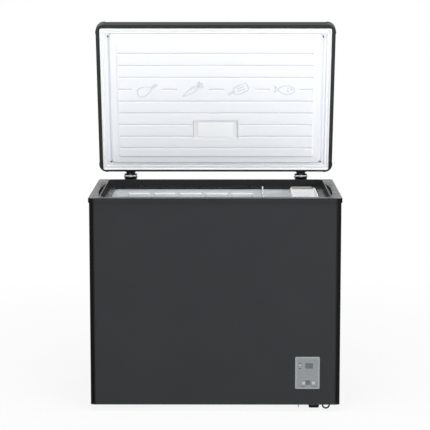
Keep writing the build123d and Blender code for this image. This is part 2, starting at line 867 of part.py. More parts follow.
with BuildPart(ground) as drain_loop:
    loop_low = loop_bottom + loop_tube
    with BuildLine(Plane((loop_x, front_y + loop_y, 0), x_dir=(1, 0, 0), z_dir=(0, -1, 0))) as loop_path:
        Line((-loop_half, loop_top), (-loop_half, loop_low + loop_half))
        RadiusArc(
            (-loop_half, loop_low + loop_half), (loop_half, loop_low + loop_half), -loop_half
        )
        Line((loop_half, loop_low + loop_half), (loop_half, loop_top))
    with BuildSketch(Plane(loop_path.line @ 0, z_dir=loop_path.line % 0)):
        Circle(loop_tube)
    sweep()
write(drain_loop.part, "drain_loop")

with BuildPart(Plane((drain_x, front_y + drain_y, floor_z))) as drain_plug:
    with Locations((0, 0, gap)):
        Cylinder(plug_radius, plug_height - gap, align=(Align.CENTER, Align.CENTER, Align.MIN))
    with Locations((0, 0, sheet)):
        Cylinder(drain_radius, plug_shank, align=(Align.CENTER, Align.CENTER, Align.MAX))
    with Locations((0, 0, plug_height)):
        Box(*plug_grip, align=(Align.CENTER, Align.CENTER, Align.MIN))
    fillet(drain_plug.edges().filter_by(Axis.Y).group_by(Axis.Z)[-1], plug_round)
write(drain_plug.part, "drain_plug")

# Control panel: bezel, window, badge plate, indicators, buttons, board and box
with BuildPart() as control_bezel:
    with BuildSketch(face):
        with Locations((panel_x, panel_z)):
            RectangleRounded(panel_width, panel_height, panel_round)
    extrude(amount=panel_proud)
    fillet(control_bezel.faces().sort_by(Axis.Y)[0].edges(), panel_edge)
    with BuildSketch(face.offset(panel_proud - field_depth)):
        with Locations((panel_x, panel_z)):
            RectangleRounded(panel_width - field_border, panel_height - field_border, field_round)
    extrude(amount=panel_proud, mode=Mode.SUBTRACT)
    with BuildSketch(face):
        with Locations((panel_x, panel_z)):
            RectangleRounded(
                panel_width - panel_lap_x - panel_play,
                panel_height - panel_lap_z - panel_play,
                field_round,
            )
    extrude(amount=-panel_back)
    with BuildSketch(face.offset(panel_proud)):
        with Locations((window_x, window_z)):
            RectangleRounded(window_width, window_height, window_round)
        with Locations((badge_x, badge_z)):
            RectangleRounded(badge_width, badge_width, window_round)
        with Locations(*[(x, button_z) for x in button_x]):
            RectangleRounded(button_width, button_height, button_round)
        with Locations(*[(lamp_x, z) for z in lamp_z]):
            SlotOverall(*lamp_slot)
    extrude(amount=-2 * cut, mode=Mode.SUBTRACT)
write(control_bezel.part, "control_bezel")

with BuildPart() as display_window:
    with BuildSketch(face.offset(panel_proud - window_set)):
        with Locations((window_x, window_z)):
            RectangleRounded(window_width - gap, window_height - gap, window_round - gap / 2)
    extrude(amount=window_sheet)
write(display_window.part, "display_window")

with BuildPart() as status_window:
    with BuildSketch(face.offset(panel_proud - window_set)):
        with Locations((badge_x, badge_z)):
            RectangleRounded(badge_width - gap, badge_width - gap, window_round - gap / 2)
    extrude(amount=window_sheet)
write(status_window.part, "status_window")

with BuildPart() as indicators:
    with BuildSketch(face.offset(panel_proud - lamp_set)):
        with Locations(*[(lamp_x, z) for z in lamp_z]):
            SlotOverall(lamp_slot[0] - gap, lamp_slot[1] - gap)
    extrude(amount=lamp_depth)
write(indicators.part, "indicators")

for name, x in zip(("button_left", "button_right"), button_x):
    with BuildPart() as button:
        with BuildSketch(face.offset(panel_proud - button_depth)):
            with Locations((x, button_z)):
                RectangleRounded(
                    button_width - button_play, button_height - button_play, button_round - button_play / 2
                )
        extrude(amount=button_depth + button_proud)
        fillet(button.faces().sort_by(Axis.Y)[0].edges(), button_edge)
    write(button.part, name)

with BuildPart() as control_board:
    with BuildSketch(face.offset(-board_back)):
        with Locations((panel_x, panel_z)):
            Rectangle(*board_size)
    extrude(amount=board_sheet)
    with BuildSketch(face.offset(-board_back)):
        with Locations(*[(panel_x + x, panel_z + z) for x, z in chip_spots]):
            Rectangle(*chip_size)
    extrude(amount=-chip_height)
write(control_board.part, "control_board")

with BuildPart() as control_box:
    box_width = panel_width - box_lap
    box_height = panel_height - box_lap
    with BuildSketch(face.offset(-box_back)):
        with Locations((panel_x, panel_z)):
            RectangleRounded(box_width, box_height, box_round)
            RectangleRounded(
                box_width - 2 * box_wall, box_height - 2 * box_wall, box_wall, mode=Mode.SUBTRACT
            )
    extrude(amount=-box_depth)
    with BuildSketch(face.offset(-box_back - box_depth)):
        with Locations((panel_x, panel_z)):
            RectangleRounded(box_width, box_height, box_round)
    extrude(amount=-box_wall)
write(control_box.part, "control_box")

# Basket: plain tub with a rim that hooks over both ledges
basket_top = ledge_z + gap
basket_front = inset + basket_end_gap
basket_back = collar_depth - inset - basket_end_gap
with BuildPart(ground) as basket:
    basket_x = (basket_left + basket_right) / 2
    basket_width = basket_right - basket_left
    with BuildSketch(ground.offset(basket_top - basket_height)):
        with Locations((basket_x, middle_y)):
            RectangleRounded(basket_width, basket_back - basket_front, basket_round)
    extrude(amount=basket_height)
    offset(amount=-basket_wall, openings=basket.faces().sort_by(Axis.Z)[-1])
    for end_y in (basket_front - basket_hook_over, basket_back + basket_hook_over):
        with Locations((basket_x - basket_hook_shift, end_y, basket_top + basket_hook[2] / 2)):
            Box(*basket_hook)
write(basket.part, "basket")

# Divider: a welded grid of wires with a hook at each top corner
wire_front = inset + wire_inset
wire_back = collar_depth - inset - wire_inset
wire_top = ledge_z - wire_drop
hook_z = ledge_z + wire + gap
with BuildPart(ground) as divider:
    with BuildLine(side_plane(divider_x)) as divider_path:
        FilletPolyline(
            (wire_front - wire_hook, hook_z),
            (wire_front, hook_z),
            (wire_front, divider_bottom),
            (wire_back, divider_bottom),
            (wire_back, hook_z),
            (wire_back + wire_hook, hook_z),
            radius=wire_bend,
        )
    with BuildSketch(Plane(divider_path.line @ 0, z_dir=divider_path.line % 0)):
        Circle(wire)
    sweep()
    with Locations((divider_x, middle_y, (wire_top + divider_bottom) / 2)):
        with GridLocations(0, wire_pitch, 1, wire_count):
            Cylinder(wire_thin, wire_top - divider_bottom)
    with Locations((divider_x, middle_y, wire_top)):
        Cylinder(wire, wire_back - wire_front, rotation=(90, 0, 0))
    with Locations((divider_x, middle_y, (wire_top + divider_bottom) / 2)):
        Cylinder(wire, wire_back - wire_front, rotation=(90, 0, 0))
write(divider.part, "wire_divider")

# Hinges: channel on the back, pin, sprung plunger, and a leaf with an eccentric cam.
# The plunger follows the cam, so the spring is shortest with the lid shut.
cam_now = radians(open_angle - cam_down)
plunger_top = pivot_z - cam_radius + cam_offset * sin(cam_now) - plunger_gap
channel_y = collar_depth + pivot_back + channel_back
channel_top = pivot_z + channel_over
shoulder_z = rim_z - skirt_height - cheek_shoulder
pin_y = collar_depth + pivot_back
screw_spots = [(dx, z) for dx in (screw_x, -screw_x) for z in screw_z]
for side, x in (("left", -hinge_x), ("right", hinge_x)):
    cheek_out = cheek_inside / 2 + cheek_sheet
    with BuildPart(ground) as hinge_body:
        for cheek_x in (x - cheek_out, x + cheek_inside / 2):
            with BuildSketch(side_plane(cheek_x)):
                with BuildLine():
                    Polyline(
                        (cabinet_back + gap, channel_bottom),
                        (cabinet_back + gap, shoulder_z),
                        (cheek_front, shoulder_z),
                        (cheek_front, pivot_z - cheek_low),
                        (pin_y - cheek_lead, pivot_z + cheek_high),
                        (pin_y + cheek_tail, pivot_z + cheek_high),
                        (channel_y, channel_top),
                        (channel_y, channel_bottom),
                        close=True,
                    )
                make_face()
                with Locations((pin_y, pivot_z)):
                    Circle(pin_radius + running, mode=Mode.SUBTRACT)
            extrude(amount=cheek_sheet)
        with Locations((x, channel_y - cheek_sheet / 2, (channel_bottom + channel_top) / 2)):
            Box(cheek_inside + 2 * cheek_sheet, cheek_sheet, channel_top - channel_bottom)
        floor_y = (cabinet_back + gap + channel_y) / 2
        with Locations((x, floor_y, channel_bottom + cheek_sheet / 2)):
            Box(cheek_inside + cheek_sheet, channel_y - cabinet_back - gap, cheek_sheet)
        wing_y = cabinet_back + gap + cheek_sheet / 2
        with Locations((x, wing_y, (channel_bottom + shoulder_z) / 2)):
            with GridLocations(2 * screw_x, 0, 2, 1):
                Box(wing_width, cheek_sheet, shoulder_z - channel_bottom)
        for dx, z in screw_spots:
            with Locations((x + dx, cabinet_back, z)):
                Cylinder(screw_hole, 2 * cut, rotation=(90, 0, 0), mode=Mode.SUBTRACT)
    write(hinge_body.part, f"hinge_body_{side}")

    with BuildPart(ground) as hinge_pin:
        with Locations((x, pin_y, pivot_z)):
            Cylinder(pin_radius, 2 * cheek_out + pin_over, rotation=(0, 90, 0))
            with GridLocations(2 * cheek_out + 2 * pin_head_out, 0, 2, 1):
                Cylinder(pin_head, pin_head_width, rotation=(0, 90, 0))
    write(hinge_pin.part, f"hinge_pin_{side}")

    with BuildPart(ground) as plunger:
        plunger_front = cheek_front + plunger_lead
        plunger_back = channel_y - cheek_sheet - plunger_tail
        with Locations((x, (plunger_front + plunger_back) / 2, plunger_top - plunger_height / 2)):
            Box(cheek_inside - 2 * plunger_side, plunger_back - plunger_front, plunger_height)
        with Locations((x, pin_y - spring_lead, plunger_top - plunger_height - guide_down)):
            Cylinder(spring_radius - spring_wire - guide_play, guide_length)
        fillet(plunger.edges().filter_by(Axis.Z), plunger_round)
    write(plunger.part, f"hinge_plunger_{side}")

    spring_bottom = channel_bottom + cheek_sheet + spring_wire + gap
    spring_top = plunger_top - plunger_height - spring_wire - gap
    spring_length = spring_top - spring_bottom
    spring_base = Plane((x, front_y + pin_y - spring_lead, spring_bottom))
    with BuildPart(spring_base) as hinge_spring:
        with BuildLine(spring_base) as spring_path:
            Helix(spring_length / spring_turns, spring_length, spring_radius)
        with BuildSketch(Plane(spring_path.line @ 0, z_dir=spring_path.line % 0)):
            Circle(spring_wire)
        sweep(is_frenet=True)
    write(hinge_spring.part, f"hinge_spring_{side}")

    with BuildPart(lid) as leaf:
        plate_y = lid_back + leaf_seat
        with BuildSketch(lid_side_plane(x - plate_width / 2)):
            with Locations((plate_y + leaf_sheet / 2, lid_rim + plate_up)):
                Rectangle(leaf_sheet, plate_length)
        extrude(amount=plate_width)
        with BuildSketch(lid_side_plane(x - neck_width / 2)):
            with BuildLine():
                Polyline(
                    (plate_y + 1, lid_rim + neck_up),
                    (plate_y + 1, lid_rim + 3),
                    (-pin_radius - 4, -2),
                    (-pin_radius - 2, 6),
                    (-2, 9),
                    close=True,
                )
            make_face()
        extrude(amount=neck_width)
        cam_y = -cam_offset * cos(radians(cam_down))
        cam_z = -cam_offset * sin(radians(cam_down))
        with BuildSketch(lid_side_plane(x - cam_width / 2)):
            with Locations((cam_y, cam_z)):
                Circle(cam_radius)
            Circle(pin_radius + running, mode=Mode.SUBTRACT)
        extrude(amount=cam_width)
        for dx in (-leaf_screw, leaf_screw):
            with Locations((x + dx, lid_back, lid_rim + leaf_screw_up)):
                Cylinder(screw_hole, 2 * cut, rotation=(90, 0, 0), mode=Mode.SUBTRACT)
    write(leaf.part, f"hinge_leaf_{side}")

# Screws that hold the channels to the back and the leaves to the lid
with BuildPart(ground) as body_screws:
    for x in (-hinge_x, hinge_x):
        for dx, z in screw_spots:
            with Locations((x + dx, cabinet_back + body_screw_head_out, z)):
                Cylinder(body_screw_head, screw_head_height, rotation=(90, 0, 0))
            with Locations((x + dx, cabinet_back + body_screw_out, z)):
                Cylinder(screw_shank, body_screw_length, rotation=(90, 0, 0))
write(body_screws.part, "hinge_body_screws")

with BuildPart(lid) as leaf_screws:
    for x in (-hinge_x, hinge_x):
        for dx in (-leaf_screw, leaf_screw):
            with Locations((x + dx, lid_back + leaf_screw_head_out, lid_rim + leaf_screw_up)):
                Cylinder(leaf_screw_head, screw_head_height, rotation=(90, 0, 0))
            with Locations((x + dx, lid_back + leaf_screw_out, lid_rim + leaf_screw_up)):
                Cylinder(screw_shank, leaf_screw_length, rotation=(90, 0, 0))
write(leaf_screws.part, "hinge_leaf_screws")

# Lid skin: steel tray with rolled edges, cut away at the corners
with BuildPart(lid) as lid_skin:
    with BuildSketch(lid.offset(lid_rim)):
        with Locations((0, lid_mid)):
            RectangleRounded(lid_width, lid_length, lid_corner)
    extrude(amount=lid_height)
    fillet(lid_skin.faces().sort_by(lid_up)[-1].edges(), lid_edge)
    offset(amount=-sheet, openings=lid_skin.faces().sort_by(lid_up)[0])
    with Locations((0, lid_mid, lid_rim)):
        with GridLocations(lid_width - cap_size, lid_length - cap_size, 2, 2):
            Box(cap_size, cap_size, rim_z, mode=Mode.SUBTRACT)
write(lid_skin.part, "lid_skin")

# Corner caps, a little proud of the skin
with BuildPart(lid) as lid_caps:
    with BuildSketch(lid.offset(lid_rim)):
        with Locations((0, lid_mid)):
            RectangleRounded(
                lid_width + 2 * cap_proud, lid_length + 2 * cap_proud, lid_corner + cap_proud
            )
    extrude(amount=lid_height + cap_proud)
    fillet(lid_caps.faces().sort_by(lid_up)[-1].edges(), lid_edge + cap_proud)
    offset(amount=-cap_wall, openings=lid_caps.faces().sort_by(lid_up)[0])
    with Locations((0, lid_mid, lid_rim)):
        Box(lid_width - 2 * cap_size + gap, 2 * lid_length, rim_z, mode=Mode.SUBTRACT)
        Box(2 * lid_width, lid_length - 2 * cap_size + gap, rim_z, mode=Mode.SUBTRACT)
write(lid_caps.part, "lid_corner_caps")

# Rim frame round the seal
rim_front_y = lid_back - lid_length + rim_side
rim_back_y = lid_back - rim_back
seal_mid = (rim_front_y + rim_back_y) / 2
seal_length = rim_back_y - rim_front_y
seal_width = lid_width - 2 * rim_side
with BuildPart(lid) as rim_frame:
    with BuildSketch(lid.offset(lid_rim)):
        with Locations((0, lid_mid)):
            RectangleRounded(lid_width - 2 * rim_play, lid_length - 2 * rim_play, lid_corner - rim_play)
        with Locations((0, seal_mid)):
            RectangleRounded(seal_width, seal_length, seal_corner, mode=Mode.SUBTRACT)
    extrude(amount=rim_sheet)
write(rim_frame.part, "lid_rim_frame")

# Inner panel: flange, low plateau, high ribbed plateau, formed from one sheet
low_mid = lid_back - (low_back + lid_length - low_front) / 2
low_length = lid_length - low_back - low_front
low_width = lid_width - 2 * low_side
high_mid = lid_back - (high_back + lid_length - high_front) / 2
high_length = lid_length - high_back - high_front
high_width = lid_width - 2 * high_side
flange_z = lid_rim + flange_set_back
slope = degrees(asin(slope_sine))
with BuildPart(lid) as inner_panel:
    with BuildSketch(lid.offset(flange_z)):
        with Locations((0, seal_mid)):
            RectangleRounded(seal_width + 2 * panel_lap, seal_length + 2 * panel_lap, panel_corner)
    extrude(amount=panel_sheet)
    with BuildSketch(lid.offset(flange_z)):
        with Locations((0, low_mid)):
            RectangleRounded(low_width, low_length, low_corner)
    extrude(amount=-flange_set_back - low_rise, taper=slope)
    with BuildSketch(lid.offset(lid_rim - low_rise)):
        with Locations((0, high_mid)):
            RectangleRounded(high_width, high_length, high_corner)
    extrude(amount=low_rise - high_rise, taper=slope)
    with BuildSketch(lid.offset(flange_z + panel_sheet)):
        with Locations((0, low_mid)):
            RectangleRounded(
                low_width - 2 * panel_sheet, low_length - 2 * panel_sheet, low_corner_inside
            )
    extrude(amount=-flange_set_back - low_rise, taper=slope, mode=Mode.SUBTRACT)
    with BuildSketch(lid.offset(lid_rim - low_rise + panel_sheet)):
        with Locations((0, high_mid)):
            RectangleRounded(
                high_width - 2 * panel_sheet, high_length - 2 * panel_sheet, high_corner_inside
            )
    extrude(amount=low_rise - high_rise, taper=slope, mode=Mode.SUBTRACT)
    groove_z = lid_rim - high_rise + groove_depth / 2
    lamp_y = lid_back - lamp_middle
    for k in range(groove_count):
        groove_y = lid_back - groove_first - k * groove_pitch
        stretches = [(-groove_half, groove_half)]
        if abs(groove_y - lamp_y) < lamp_length / 2:
            stop = lamp_width / 2 + groove_stop
            stretches = [(-groove_half, -stop), (stop, groove_half)]
        if k == picture_row:
            centres = [picture_pitch * (m - (picture_count - 1) / 2) for m in range(picture_count)]
            starts = [-groove_half] + [c + picture_half for c in centres]
            ends = [c - picture_half for c in centres] + [groove_half]
            stretches = list(zip(starts, ends))
        for start, end in stretches:
            with Locations(((start + end) / 2, groove_y, groove_z)):
                Box(end - start, groove_width, groove_depth, mode=Mode.SUBTRACT)
    with Locations((0, lamp_y, lid_rim - high_rise)):
        Box(lamp_width + 2 * gap, lamp_length + 2 * gap, 2 * cut, mode=Mode.SUBTRACT)
write(inner_panel.part, "lid_inner_panel")

# Seal: foot on the flange and a softer bulb towards the collar
with BuildPart(lid) as seal:
    with BuildSketch(lid.offset(flange_z - gap / 3)):
        with Locations((0, seal_mid)):
            for edge, radius, mode in (
                (seal_play, seal_corner - seal_play, Mode.ADD),
                (seal_play + seal_foot_width, seal_inside, Mode.SUBTRACT),
            ):
                RectangleRounded(seal_width - 2 * edge, seal_length - 2 * edge, radius, mode=mode)
    extrude(amount=-seal_foot)
    with BuildSketch(lid.offset(flange_z - seal_foot)):
        with Locations((0, seal_mid)):
            for edge, radius, mode in (
                (seal_bulb_in, seal_corner - seal_bulb_in, Mode.ADD),
                (seal_bulb_in + seal_bulb_width, seal_inside, Mode.SUBTRACT),
            ):
                RectangleRounded(seal_width - 2 * edge, seal_length - 2 * edge, radius, mode=mode)
    extrude(amount=seal_foot - flange_set_back - lid_rest_gap + seal_squeeze)
write(seal.part, "lid_seal")

# Insulation in the lid, with a pocket for the lamp
foam_low = flange_z + panel_sheet + gap
with BuildPart(lid) as lid_foam:
    with BuildSketch(lid.offset(foam_low)):
        with Locations((0, lid_mid)):
            RectangleRounded(
                lid_width - 2 * foam_skin, lid_length - 2 * foam_skin, lid_corner - foam_skin
            )
    extrude(amount=lid_rim + lid_height - sheet - foam_roof - foam_low)
    fillet(lid_foam.faces().sort_by(lid_up)[-1].edges(), lid_edge - foam_skin)
    with BuildSketch(lid.offset(foam_low)):
        with Locations((0, low_mid)):
            foam_edge = panel_sheet + foam_play
            RectangleRounded(low_width - 2 * foam_edge, low_length - 2 * foam_edge, foam_corner)
    extrude(amount=-flange_set_back - low_rise, taper=slope)
    with Locations((0, lamp_y, lid_rim - high_rise)):
        Box(
            lamp_width + 2 * foam_pocket,
            lamp_length + 2 * foam_pocket,
            foam_pocket_depth,
            mode=Mode.SUBTRACT,
        )
write(lid_foam.part, "lid_foam")

# Lamp: a shallow tray set into the panel, a lens that stands up from its floor, and a board
lamp_face = lid_rim - high_rise
lamp_floor = lamp_face + pocket_depth
with BuildPart(lid) as lamp_cover:
    with BuildSketch(lid.offset(lamp_face)):
        with Locations((0, lamp_y)):
            RectangleRounded(lamp_width, lamp_length, pocket_corner)
            RectangleRounded(
                lamp_width - 2 * pocket_wall,
                lamp_length - 2 * pocket_wall,
                pocket_corner - pocket_wall,
                mode=Mode.SUBTRACT,
            )
    extrude(amount=pocket_depth)
    with BuildSketch(lid.offset(lamp_floor)):
        with Locations((0, lamp_y)):
            RectangleRounded(lamp_width, lamp_length, pocket_corner)
            RectangleRounded(lens_width, lens_length, lens_corner, mode=Mode.SUBTRACT)
    extrude(amount=pocket_sheet)
write(lamp_cover.part, "lamp_cover")

with BuildPart(lid) as lamp_lens:
    with BuildSketch(lid.offset(lamp_floor + pocket_sheet)):
        with Locations((0, lamp_y)):
            RectangleRounded(lens_width - gap, lens_length - gap, lens_corner - gap / 2)
    extrude(amount=-pocket_depth - lens_proud)
    fillet(lamp_lens.faces().sort_by(lid_up)[0].edges(), lens_round)
write(lamp_lens.part, "lamp_lens")

with BuildPart(lid) as lamp_board:
    with Locations((0, lamp_y, lamp_face + led_board_up)):
        Box(*led_board)
    with Locations((0, lamp_y, lamp_face + led_up)):
        with GridLocations(led_pitch, 0, led_count, 1):
            Box(*led)
write(lamp_board.part, "lamp_board")
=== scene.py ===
import math

import bpy
import numpy as np
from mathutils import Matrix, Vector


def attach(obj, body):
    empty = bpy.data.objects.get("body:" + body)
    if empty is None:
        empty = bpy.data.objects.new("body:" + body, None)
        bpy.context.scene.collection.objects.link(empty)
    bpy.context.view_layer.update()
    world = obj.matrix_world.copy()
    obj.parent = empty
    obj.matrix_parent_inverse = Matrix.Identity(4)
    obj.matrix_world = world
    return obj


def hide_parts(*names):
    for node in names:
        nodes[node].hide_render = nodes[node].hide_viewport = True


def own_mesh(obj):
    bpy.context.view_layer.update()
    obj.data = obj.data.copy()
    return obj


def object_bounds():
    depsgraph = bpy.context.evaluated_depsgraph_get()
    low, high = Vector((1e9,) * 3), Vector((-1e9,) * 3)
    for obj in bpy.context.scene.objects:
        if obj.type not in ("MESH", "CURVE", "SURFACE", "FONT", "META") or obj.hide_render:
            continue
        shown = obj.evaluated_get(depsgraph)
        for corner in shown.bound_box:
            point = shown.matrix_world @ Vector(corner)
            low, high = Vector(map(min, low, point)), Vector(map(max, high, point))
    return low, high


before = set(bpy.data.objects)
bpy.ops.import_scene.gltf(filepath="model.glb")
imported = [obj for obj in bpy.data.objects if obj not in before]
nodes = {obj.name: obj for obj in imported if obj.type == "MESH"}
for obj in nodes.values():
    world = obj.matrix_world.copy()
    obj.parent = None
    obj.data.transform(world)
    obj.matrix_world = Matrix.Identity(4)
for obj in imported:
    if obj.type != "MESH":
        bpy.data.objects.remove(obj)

cadBox = [list(corner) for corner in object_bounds()]
scene = bpy.context.scene
front = cadBox[0][1]  # front edge of the collar, in metres like every length here
depthMiddle = front + 0.29  # middle of the cabinet from front to back
print("frame loaded:", len(nodes), "nodes")


# camera, floor and light

view = {
    "pictureWidth": 430.0,  # pixels
    "focalPixels": 1722.8,
    "sensor": 36.0,  # mm
    "back": 6.0604,  # in front of the collar
    "height": 1.5611,
    "across": 0.023,
    "pitchDown": 7.927,  # degrees
    "turnLeft": 0.21,
    "sideShift": -0.0009,  # share of the picture's width
    "clipEnd": 300.0,
}
light = {
    "world": 0.482,
    "keyPower": 166.0,
    "keyPlace": (3.4, -5.2, 1.1),
    "keySize": 2.6,
    "fillPower": 56.0,
    "fillPlace": (-3.4, -5.0, 1.0),
    "fillSize": 3.0,
    "topPower": 84.0,
    "topPlace": (0.0, -1.4, 4.0),
    "topSize": 2.4,
    "target": (0.0, 0.0, 0.85),
    "floorGlow": 0.86,  # share of plain white in what the camera sees of the floor near the object
    "floorFade": (0.9, 2.6),  # metres from the middle over which that share grows to all
    "floorHalf": 60.0,
}


def hexLinear(code):
    # sRGB hex to linear red, green, blue, alpha
    c = np.array([int(code[i : i + 2], 16) for i in (1, 3, 5)]) / 255.0
    c = np.where(c <= 0.04045, c / 12.92, ((c + 0.055) / 1.055) ** 2.4)
    return (*c.tolist(), 1.0)


def addNode(tree, kind, settings=None, links=None):
    # one node: settings go to its sockets or its own properties, links to its sockets
    new = tree.nodes.new(kind)
    for key, value in (settings or {}).items():
        if isinstance(key, int) or key in new.inputs:
            new.inputs[key].default_value = value
        else:
            setattr(new, key, value)
    for key, source in (links or {}).items():
        tree.links.new(source, new.inputs[key])
    return new


def emptyTree(name):
    material = bpy.data.materials.new(name)
    material.use_nodes = True
    material.node_tree.nodes.clear()
    return material, material.node_tree


def plainRays(tree):
    # 1 for rays from the camera, mirrors and glass, 0 for rays that light the object
    path = addNode(tree, "ShaderNodeLightPath")
    seen = path.outputs["Is Camera Ray"]
    for other in ("Is Glossy Ray", "Is Transmission Ray"):
        pair = {0: seen, 1: path.outputs[other]}
        seen = addNode(tree, "ShaderNodeMath", {"operation": "MAXIMUM"}, pair).outputs[0]
    return seen


def setStage():
    camera = bpy.data.objects.new("photoCamera", bpy.data.cameras.new("photoCamera"))
    camera.data.sensor_width = view["sensor"]
    camera.data.lens = view["focalPixels"] / view["pictureWidth"] * view["sensor"]
    camera.data.shift_x = view["sideShift"]
    camera.data.clip_end = view["clipEnd"]
    camera.location = (view["across"], front - view["back"], view["height"])
    camera.rotation_euler = (math.radians(90.0 - view["pitchDown"]), 0.0, math.radians(view["turnLeft"]))
    scene.collection.objects.link(camera)
    scene.camera = camera

    for name in ("key", "fill", "top"):
        lamp = bpy.data.lights.new(name + "Light", "AREA")
        lamp.energy = light[name + "Power"]
        lamp.size = light[name + "Size"]
        lampObject = bpy.data.objects.new(name + "Light", lamp)
        place = np.array(light[name + "Place"])
        aim = np.array(light["target"]) - place
        lampObject.location = place
        lampObject.rotation_euler = (
            math.atan2(math.hypot(aim[0], aim[1]), -aim[2]),
            0.0,
            math.atan2(aim[0], -aim[1]) + math.pi,
        )
        scene.collection.objects.link(lampObject)

    world = bpy.data.worlds.new("studioWhite")
    world.use_nodes = True
    tree = world.node_tree
    tree.nodes.clear()
    settings = {"To Min": light["world"], "To Max": 1.0}
    level = addNode(tree, "ShaderNodeMapRange", settings, {"Value": plainRays(tree)}).outputs[0]
    sky = addNode(tree, "ShaderNodeBackground", {"Color": hexLinear("#FFFFFF")}, {"Strength": level})
    addNode(tree, "ShaderNodeOutputWorld", links={"Surface": sky.outputs[0]})
    scene.world = world

    floorFinish, tree = emptyTree("palePaper")
    paper = addNode(tree, "ShaderNodeBsdfDiffuse", {"Color": hexLinear("#F4F4F4")})
    glow = addNode(tree, "ShaderNodeEmission", {"Color": hexLinear("#FFFFFF"), "Strength": 1.0})
    spot = addNode(tree, "ShaderNodeTexCoord").outputs["Object"]
    away = addNode(tree, "ShaderNodeVectorMath", {"operation": "LENGTH"}, {0: spot}).outputs["Value"]
    near, far = light["floorFade"]
    settings = {"From Min": near, "From Max": far, "To Min": light["floorGlow"], "To Max": 1.0}
    share = addNode(tree, "ShaderNodeMapRange", settings, {"Value": away}).outputs[0]
    pair = {0: plainRays(tree), 1: share}
    share = addNode(tree, "ShaderNodeMath", {"operation": "MULTIPLY"}, pair).outputs[0]
    links = {0: share, 1: paper.outputs[0], 2: glow.outputs[0]}
    both = addNode(tree, "ShaderNodeMixShader", links=links)
    addNode(tree, "ShaderNodeOutputMaterial", links={"Surface": both.outputs[0]})
    h = light["floorHalf"]
    mesh = bpy.data.meshes.new("floor")
    mesh.from_pydata([(-h, -h, 0.0), (h, -h, 0.0), (h, h, 0.0), (-h, h, 0.0)], [], [(0, 1, 2, 3)])
    mesh.materials.append(floorFinish)
    floor = bpy.data.objects.new("floor", mesh)
    scene.collection.objects.link(floor)
    scene.view_settings.view_transform = "Standard"


setStage()
print("stage set")


# finishes: each is a real material, its grain and patches given in millimetres

